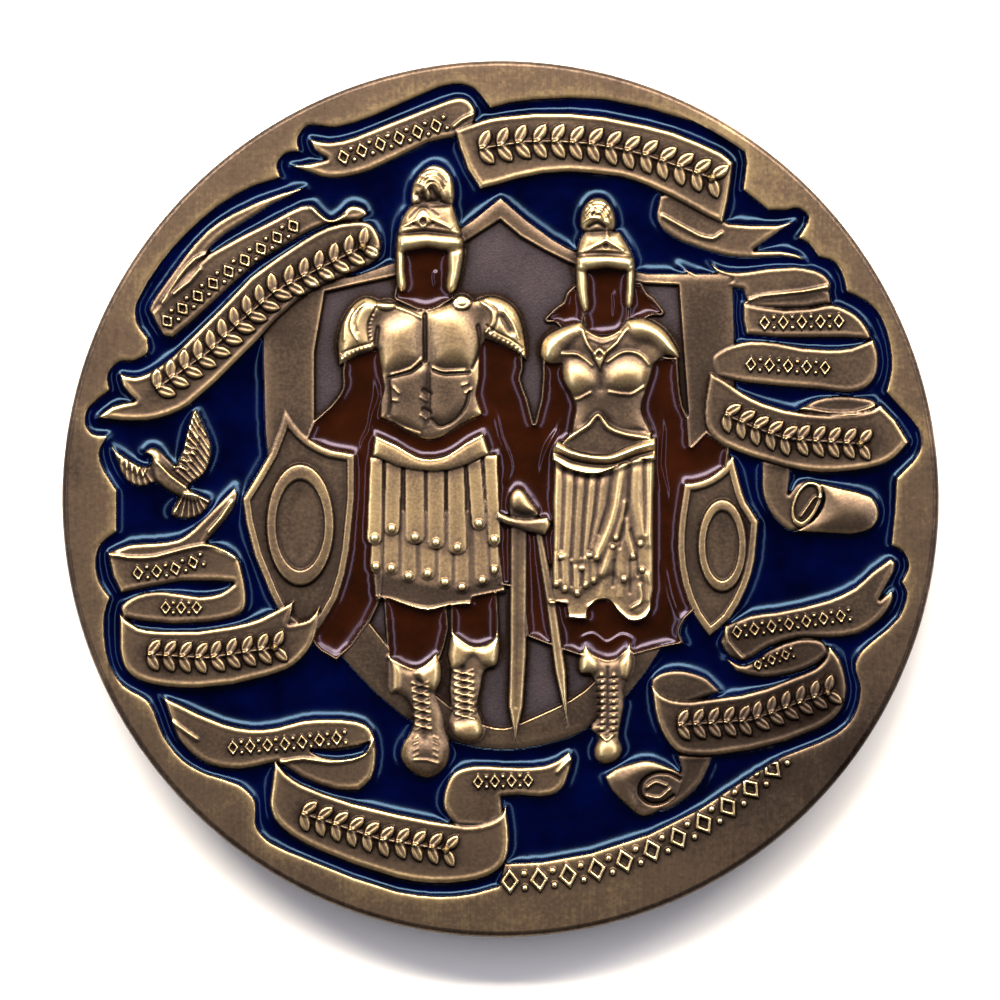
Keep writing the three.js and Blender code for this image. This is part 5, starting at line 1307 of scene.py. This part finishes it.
def ring(name, profile, steps=720):
    profile = np.array(profile)
    away, up = np.gradient(profile[:, 0]), np.gradient(profile[:, 1])
    out = np.stack([-up, away], axis=1)
    out /= np.linalg.norm(out, axis=1, keepdims=True)
    turn = np.arange(steps) * math.tau / steps
    circle = np.stack([np.cos(turn), np.sin(turn)], axis=1)
    sweep = np.concatenate([circle, np.ones((steps, 1))], axis=1)[:, None, :]
    places = profile[None, :, [0, 0, 1]] * sweep
    normals = out[None, :, [0, 0, 1]] * sweep
    step, row = np.meshgrid(np.arange(steps), np.arange(len(profile) - 1), indexing="ij")
    first, second = step * len(profile) + row, (step + 1) % steps * len(profile) + row
    faces = np.stack([first, first + 1, second + 1, second], axis=-1).reshape(-1, 4)
    on_land = places[..., :2] * np.minimum(1, STRIP_OUTER / profile[:, :1])
    nearest = np.rint((on_land - obverse.axis[0]) / obverse.pitch).astype(int)
    land_rub_and_shoulder_shade = rub_and_painted_light[nearest[..., 1], nearest[..., 0]]
    # Painted shade: the shoulder and side are made 0.15 darker than the land beside them. The land's share
    # already holds the painted light and shade from the die.
    land_rub_and_shoulder_shade = land_rub_and_shoulder_shade - 0.15 * (profile[:, 0] > COIN_RADIUS - SHOULDER - 0.01)
    return mesh_piece(name, places.reshape(-1, 3), faces, normals.reshape(-1, 3), land_rub_and_shoulder_shade.ravel())


SHOULDER_RADIUS = COIN_RADIUS - SHOULDER
strip = (STRIP_INNER, STRIP_OUTER, SHOULDER_RADIUS - 0.03)
profile = [(away, RIM_TOP + 0.001) for away in strip]
for start, end, middle in ((90, 0, RIM_TOP - SHOULDER), (0, -90, SHOULDER)):
    for angle in np.radians(np.linspace(start, end, 10)):
        away = SHOULDER_RADIUS + SHOULDER * math.cos(angle)
        profile.append((away, middle + SHOULDER * math.sin(angle)))
profile.append((24.2, 0.0))
pieces["struck_edge"] = ring("struck_edge", profile)
print("edge profile", len(profile), "points, turned through 720 steps")

# %% The reverse
COARSE_PITCH = 0.12
REVERSE_RIM_INNER = 23.2
REVERSE_DEPTH = 0.35
REVERSE_SHIELD_SCALE = 0.72
WREATH_RADIUS = 18.6
reverse = Die(COARSE_PITCH, 0, "reverse_rim")
round_field = oval(0, 0, REVERSE_RIM_INNER, REVERSE_RIM_INNER, steps=240)
spot, depth = reverse.depth(round_field, reach=4 * COARSE_PITCH)
reverse.height[spot] -= REVERSE_DEPTH * ease((depth + 0.1) / 0.3)
reverse.claim(spot, depth > 0, "reverse_field")
spot, depth = reverse.depth(REVERSE_SHIELD_SCALE * curve(GREAT_SHIELD), reach=1.2)
reverse.height[spot] += 0.15 * ease((depth + 0.1) / 0.3) - 0.05 * ease((depth - 0.8) / 0.3)
for side in (-1, 1):
    for angle in np.radians(np.linspace(-84, 62, 24)):
        x, y = side * WREATH_RADIUS * math.cos(angle), WREATH_RADIUS * math.sin(angle)
        heading = math.atan2(math.cos(angle), -side * math.sin(angle))
        for lean in (-0.6, 0.6):
            tilt = heading + lean
            leaf(reverse, x + 1.1 * math.cos(tilt), y + 1.1 * math.sin(tilt), tilt, 2.3, 0.95, 0.2)
far = corners_of(np.hypot(reverse.x, reverse.y), np.maximum)
reverse_mean = softened(reverse.height, 12)
reverse_rub = (0.4 + 3 * (reverse.height - reverse_mean)).clip(0, 1)
low_side = Die(COARSE_PITCH, 0, "low_side")
low_side.height = reverse.height
for number, name in enumerate(reverse.names):
    keep = (far < STRIP_INNER) & (reverse.owner[:-1, :-1] == number)
    pieces[name] = sheet_piece(name, low_side, keep, reverse_rub, facing=-1)

# %% [markdown]
# ## Colours and nodes
# Colours are written as the sRGB hex values that a paint or plating chart gives, and one
# function turns them into the linear values that the renderer adds up. Another adds a node with
# its settings and links, so that a material reads as a list of what it is made of.

# %% Colour and node helpers
def linear(hex_code):
    values = [int(hex_code[i : i + 2], 16) / 255 for i in (1, 3, 5)]
    return [v / 12.92 if v <= 0.04045 else ((v + 0.055) / 1.055) ** 2.4 for v in values] + [1.0]


def add(tree, kind, settings=None, links=None):
    node = tree.nodes.new("ShaderNode" + kind)
    for key, value in (settings or {}).items():
        if isinstance(key, str) and hasattr(node, key):
            setattr(node, key, value)
        else:
            node.inputs[key].default_value = value
    for key, socket in (links or {}).items():
        tree.links.new(socket, node.inputs[key])
    return node


def per_mm(size):
    return 1000 / size


print("mid grey #808080 is", round(linear("#808080")[0], 3), "in linear light")

# %% [markdown]
# ## Antique bronze plating
# Antique bronze is a copper and tin plating, toned dark and rubbed back. It is a bare metal, so
# it keeps the default IOR and takes its colour from its reflection: brown-grey where the toning
# stays and warm gold where it is rubbed. A ramp over the rubbing gives both in one material. The
# real grain is a few hundredths of a millimetre, too fine to show, so it is drawn at 0.1 to
# 0.2 mm. The brushed land also has lines 0.16 mm apart and about 5 mm long.

# %% Antique bronze in four surfaces
def antique_bronze(name, grain, grain_depth, brushed=0.0, tone=0.0, rough=0.36,
                   dark="#40362F", middle="#6B5A4A"):
    material = bpy.data.materials.new(name)
    material.use_nodes = True
    tree = material.node_tree
    shader = tree.nodes["Principled BSDF"]
    shader.inputs["Metallic"].default_value = 1.0
    place = {"Vector": add(tree, "TexCoord").outputs["Object"]}
    cloud = add(tree, "TexNoise", {"Scale": per_mm(4.0), "Detail": 4.0, "Roughness": 0.6}, place)
    grit = add(tree, "TexNoise", {"Scale": per_mm(grain), "Detail": 3.0}, place)
    brush = {"Scale": (per_mm(0.16), per_mm(5.0), per_mm(1.0))}
    drawn = {"Vector": add(tree, "Mapping", brush, place).outputs["Vector"]}
    lines = add(tree, "TexNoise", {"Scale": 1.0, "Detail": 4.0, "Roughness": 0.65}, drawn)
    # The share read here also carries the painted light and shade from the die: lighter and darker patches
    # over the coin.
    share = add(tree, "Attribute", {"attribute_name": "rub_and_painted_light"}).outputs["Fac"]
    for pattern, gain, offset in (
        (cloud, 0.34, tone - 0.17), (lines, 0.5 * brushed, -0.25 * brushed), (grit, 0.3, -0.15)
    ):
        scaled = {"operation": "MULTIPLY_ADD", 1: gain, 2: offset}
        part = add(tree, "Math", scaled, {0: pattern.outputs["Fac"]}).outputs["Value"]
        summed = {"operation": "ADD", "use_clamp": pattern is grit}
        share = add(tree, "Math", summed, {0: share, 1: part}).outputs["Value"]
    ramp = add(tree, "ValToRGB", {}, {"Fac": share})
    stops = ramp.color_ramp.elements
    stops[0].position, stops[0].color = 0.0, linear("#1C1410")
    stops[1].position, stops[1].color = 1.0, linear("#F2DFAA")
    for position, colour in ((0.25, dark), (0.47, middle), (0.72, "#B39B72")):
        stops.new(position).color = linear(colour)
    tree.links.new(ramp.outputs["Color"], shader.inputs["Base Color"])
    duller = {"To Min": rough + 0.16, "To Max": rough - 0.04}
    matte = add(tree, "MapRange", duller, {"Value": share})
    tree.links.new(matte.outputs["Result"], shader.inputs["Roughness"])
    height = {"Height": grit.outputs["Fac"]}
    bump = add(tree, "Bump", {"Strength": 1.0, "Distance": 0.001 * grain_depth}, height)
    if brushed:
        under = {"Height": lines.outputs["Fac"], "Normal": bump.outputs["Normal"]}
        bump = add(tree, "Bump", {"Strength": 1.0, "Distance": 0.001 * 0.02 * brushed}, under)
    tree.links.new(bump.outputs["Normal"], shader.inputs["Normal"])
    print(name, len(tree.nodes), "nodes")
    return material


rubbed_relief = antique_bronze("antique_bronze_rubbed_relief", 0.2, 0.008)
rubbed_figures = antique_bronze(
    "antique_bronze_hand_rubbed_figures", 0.16, 0.008, tone=0.13, rough=0.42
)
brushed_land = antique_bronze(
    "antique_bronze_brushed_land", 0.22, 0.006, brushed=0.35, tone=0.08, rough=0.35
)
sandblasted = antique_bronze(
    "antique_bronze_sandblasted_field", 0.11, 0.012, tone=-0.01, rough=0.44,
    dark="#363034", middle="#4E4548",
)

# %% [markdown]
# ## Soft enamel
# Soft enamel is a coloured resin, baked below the metal walls. It is smooth and glossy like a
# paint film, with an IOR near 1.5. Glass with an absorbing volume would be closer to fired
# enamel, but this resin is opaque. The sheen that runs along its raised margins is tinted by
# the resin, so the specular tint carries a pale form of each colour.

# %% Navy and brown enamel
def soft_enamel(name, deep, light, glint, rough):
    material = bpy.data.materials.new(name)
    material.use_nodes = True
    tree = material.node_tree
    shader = tree.nodes["Principled BSDF"]
    shader.inputs["IOR"].default_value = 1.5
    shader.inputs["Specular Tint"].default_value = linear(glint)
    place = {"Vector": add(tree, "TexCoord").outputs["Object"]}
    cloud = add(tree, "TexNoise", {"Scale": per_mm(3.0), "Detail": 5.0, "Roughness": 0.6}, place)
    ramp = add(tree, "ValToRGB", {}, {"Fac": cloud.outputs["Fac"]})
    stops = ramp.color_ramp.elements
    stops[0].position, stops[0].color = 0.35, linear(deep)
    stops[1].position, stops[1].color = 0.7, linear(light)
    tree.links.new(ramp.outputs["Color"], shader.inputs["Base Color"])
    duller = {"To Min": rough - 0.03, "To Max": rough + 0.05}
    matte = add(tree, "MapRange", duller, {"Value": cloud.outputs["Fac"]})
    tree.links.new(matte.outputs["Result"], shader.inputs["Roughness"])
    ripple = add(tree, "TexNoise", {"Scale": per_mm(1.2), "Detail": 2.0}, place)
    height = {"Height": ripple.outputs["Fac"]}
    bump = add(tree, "Bump", {"Strength": 1.0, "Distance": 0.001 * 0.006}, height)
    tree.links.new(bump.outputs["Normal"], shader.inputs["Normal"])
    print(name, len(tree.nodes), "nodes")
    return material


navy = soft_enamel("navy_soft_enamel", "#00000F", "#000222", "#6488A8", 0.17)
brown = soft_enamel("brown_soft_enamel", "#140601", "#220B02", "#9A8FA8", 0.16)

# %% Finish every piece
SURFACES = {
    "rim_land": brushed_land, "struck_edge": brushed_land, "reverse_rim": brushed_land,
    "great_shield_field": sandblasted, "reverse_field": sandblasted,
    "left_figure": rubbed_figures, "right_figure": rubbed_figures,
}
for name, piece in pieces.items():
    if name.endswith("_glaze"):
        blue = "blue" in name
        piece.data.materials.append(navy if blue else brown)
        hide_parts(name.removesuffix("_glaze"))
    else:
        piece.data.materials.append(SURFACES.get(name, rubbed_relief))
        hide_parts("coin_body")
    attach(piece, "root")
triangles = sum(2 * len(piece.data.polygons) for piece in pieces.values())
print(len(pieces), "pieces with", triangles, "triangles")

# %% [markdown]
# ## Table, light and camera
# The coin lies on a pale table. A coin is a mirror with a grain, so what it reflects matters
# more than how much light falls on it. An even dome of light would flatten the relief, so one
# long soft lamp stands beyond the top of the design and leans over it. Its right end is dimmer,
# and a weak strip at each side draws the margins of the enamel. The room is dim above, and pale
# below the horizon, so that the table has no dark edge from the side. The camera looks straight
# down from far away through a long lens, so the round coin stays round.

# %% Table
HALF_TABLE = 0.4
corners = [(x * HALF_TABLE, y * HALF_TABLE, 0) for x, y in ((-1, -1), (1, -1), (1, 1), (-1, 1))]
floor_mesh = bpy.data.meshes.new("table")
floor_mesh.from_pydata(corners, [], [(0, 1, 2, 3)])
table = bpy.data.objects.new("table", floor_mesh)
bpy.context.scene.collection.objects.link(table)
paint = bpy.data.materials.new("white_matt_table")
paint.use_nodes = True
matt = paint.node_tree.nodes["Principled BSDF"].inputs
matt["Base Color"].default_value = linear("#F6F5F2")
matt["Roughness"].default_value = 0.9
floor_mesh.materials.append(paint)
table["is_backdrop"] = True
print("table", 2 * HALF_TABLE, "m square")

# %% Lamps and room
LAMP_HEIGHT = 0.172
LAMP_AWAY = 0.155


def soft_lamp(name, place, aim, width, height, power, colour):
    light = bpy.data.lights.new(name, "AREA")
    light.shape, light.size, light.size_y = "RECTANGLE", width, height
    light.energy, light.color = power, linear(colour)[:3]
    lamp = bpy.data.objects.new(name, light)
    lamp.location = place
    direction = np.array(aim) - np.array(place)
    lean = math.atan2(math.hypot(direction[0], direction[1]), -direction[2])
    lamp.rotation_euler = (lean, 0, math.atan2(-direction[0], direction[1]))
    bpy.context.scene.collection.objects.link(lamp)
    return lamp


for name, x, width, power in (
    ("key_softbox", -0.07, 0.26, 2.05), ("key_softbox_dim_end", 0.15, 0.18, 0.75)
):
    place = (x, LAMP_AWAY, LAMP_HEIGHT)
    soft_lamp(name, place, (x, 0, 0), width, 0.055, power, "#FFF3E4")
for side in (-1, 1):
    place = (side * LAMP_AWAY, 0.03, LAMP_HEIGHT)
    soft_lamp(f"side_strip_{side}", place, (0, 0, 0), 0.25, 0.03, 0.22, "#F4F2FF")
world = bpy.data.worlds.new("dim_room")
world.use_nodes = True
tree = world.node_tree
look = add(tree, "TexCoord")
split = add(tree, "SeparateXYZ", {}, {"Vector": look.outputs["Generated"]})
room = add(tree, "ValToRGB", {}, {"Fac": split.outputs["Z"]})
below, above = room.color_ramp.elements
below.color = linear("#DAD6D0")
above.position, above.color = 0.004, linear("#505053")
tree.links.new(room.outputs["Color"], tree.nodes["Background"].inputs["Color"])
bpy.context.scene.world = world
bpy.context.scene.view_settings.view_transform = "Standard"
print(len(bpy.data.lights), "lamps")

# %% Camera straight above
DISTANCE = 0.6
FIELD_WIDTH = 57.925e-3
SENSOR = 36.0
camera = bpy.data.objects.new("camera", bpy.data.cameras.new("camera"))
camera.data.sensor_width = SENSOR
camera.data.lens = SENSOR * DISTANCE / FIELD_WIDTH
camera.data.clip_start, camera.data.clip_end = 0.01, 10
camera.location = (-0.029e-3, -0.058e-3, RIM_TOP * 0.001 + DISTANCE)
bpy.context.scene.collection.objects.link(camera)
bpy.context.scene.camera = camera
print("lens", round(camera.data.lens), "mm")

# %% Size of the visible scene
bpy.context.view_layer.update()
low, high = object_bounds()
print("visual box in mm", [round(1000 * (b - a), 2) for a, b in zip(low, high)])
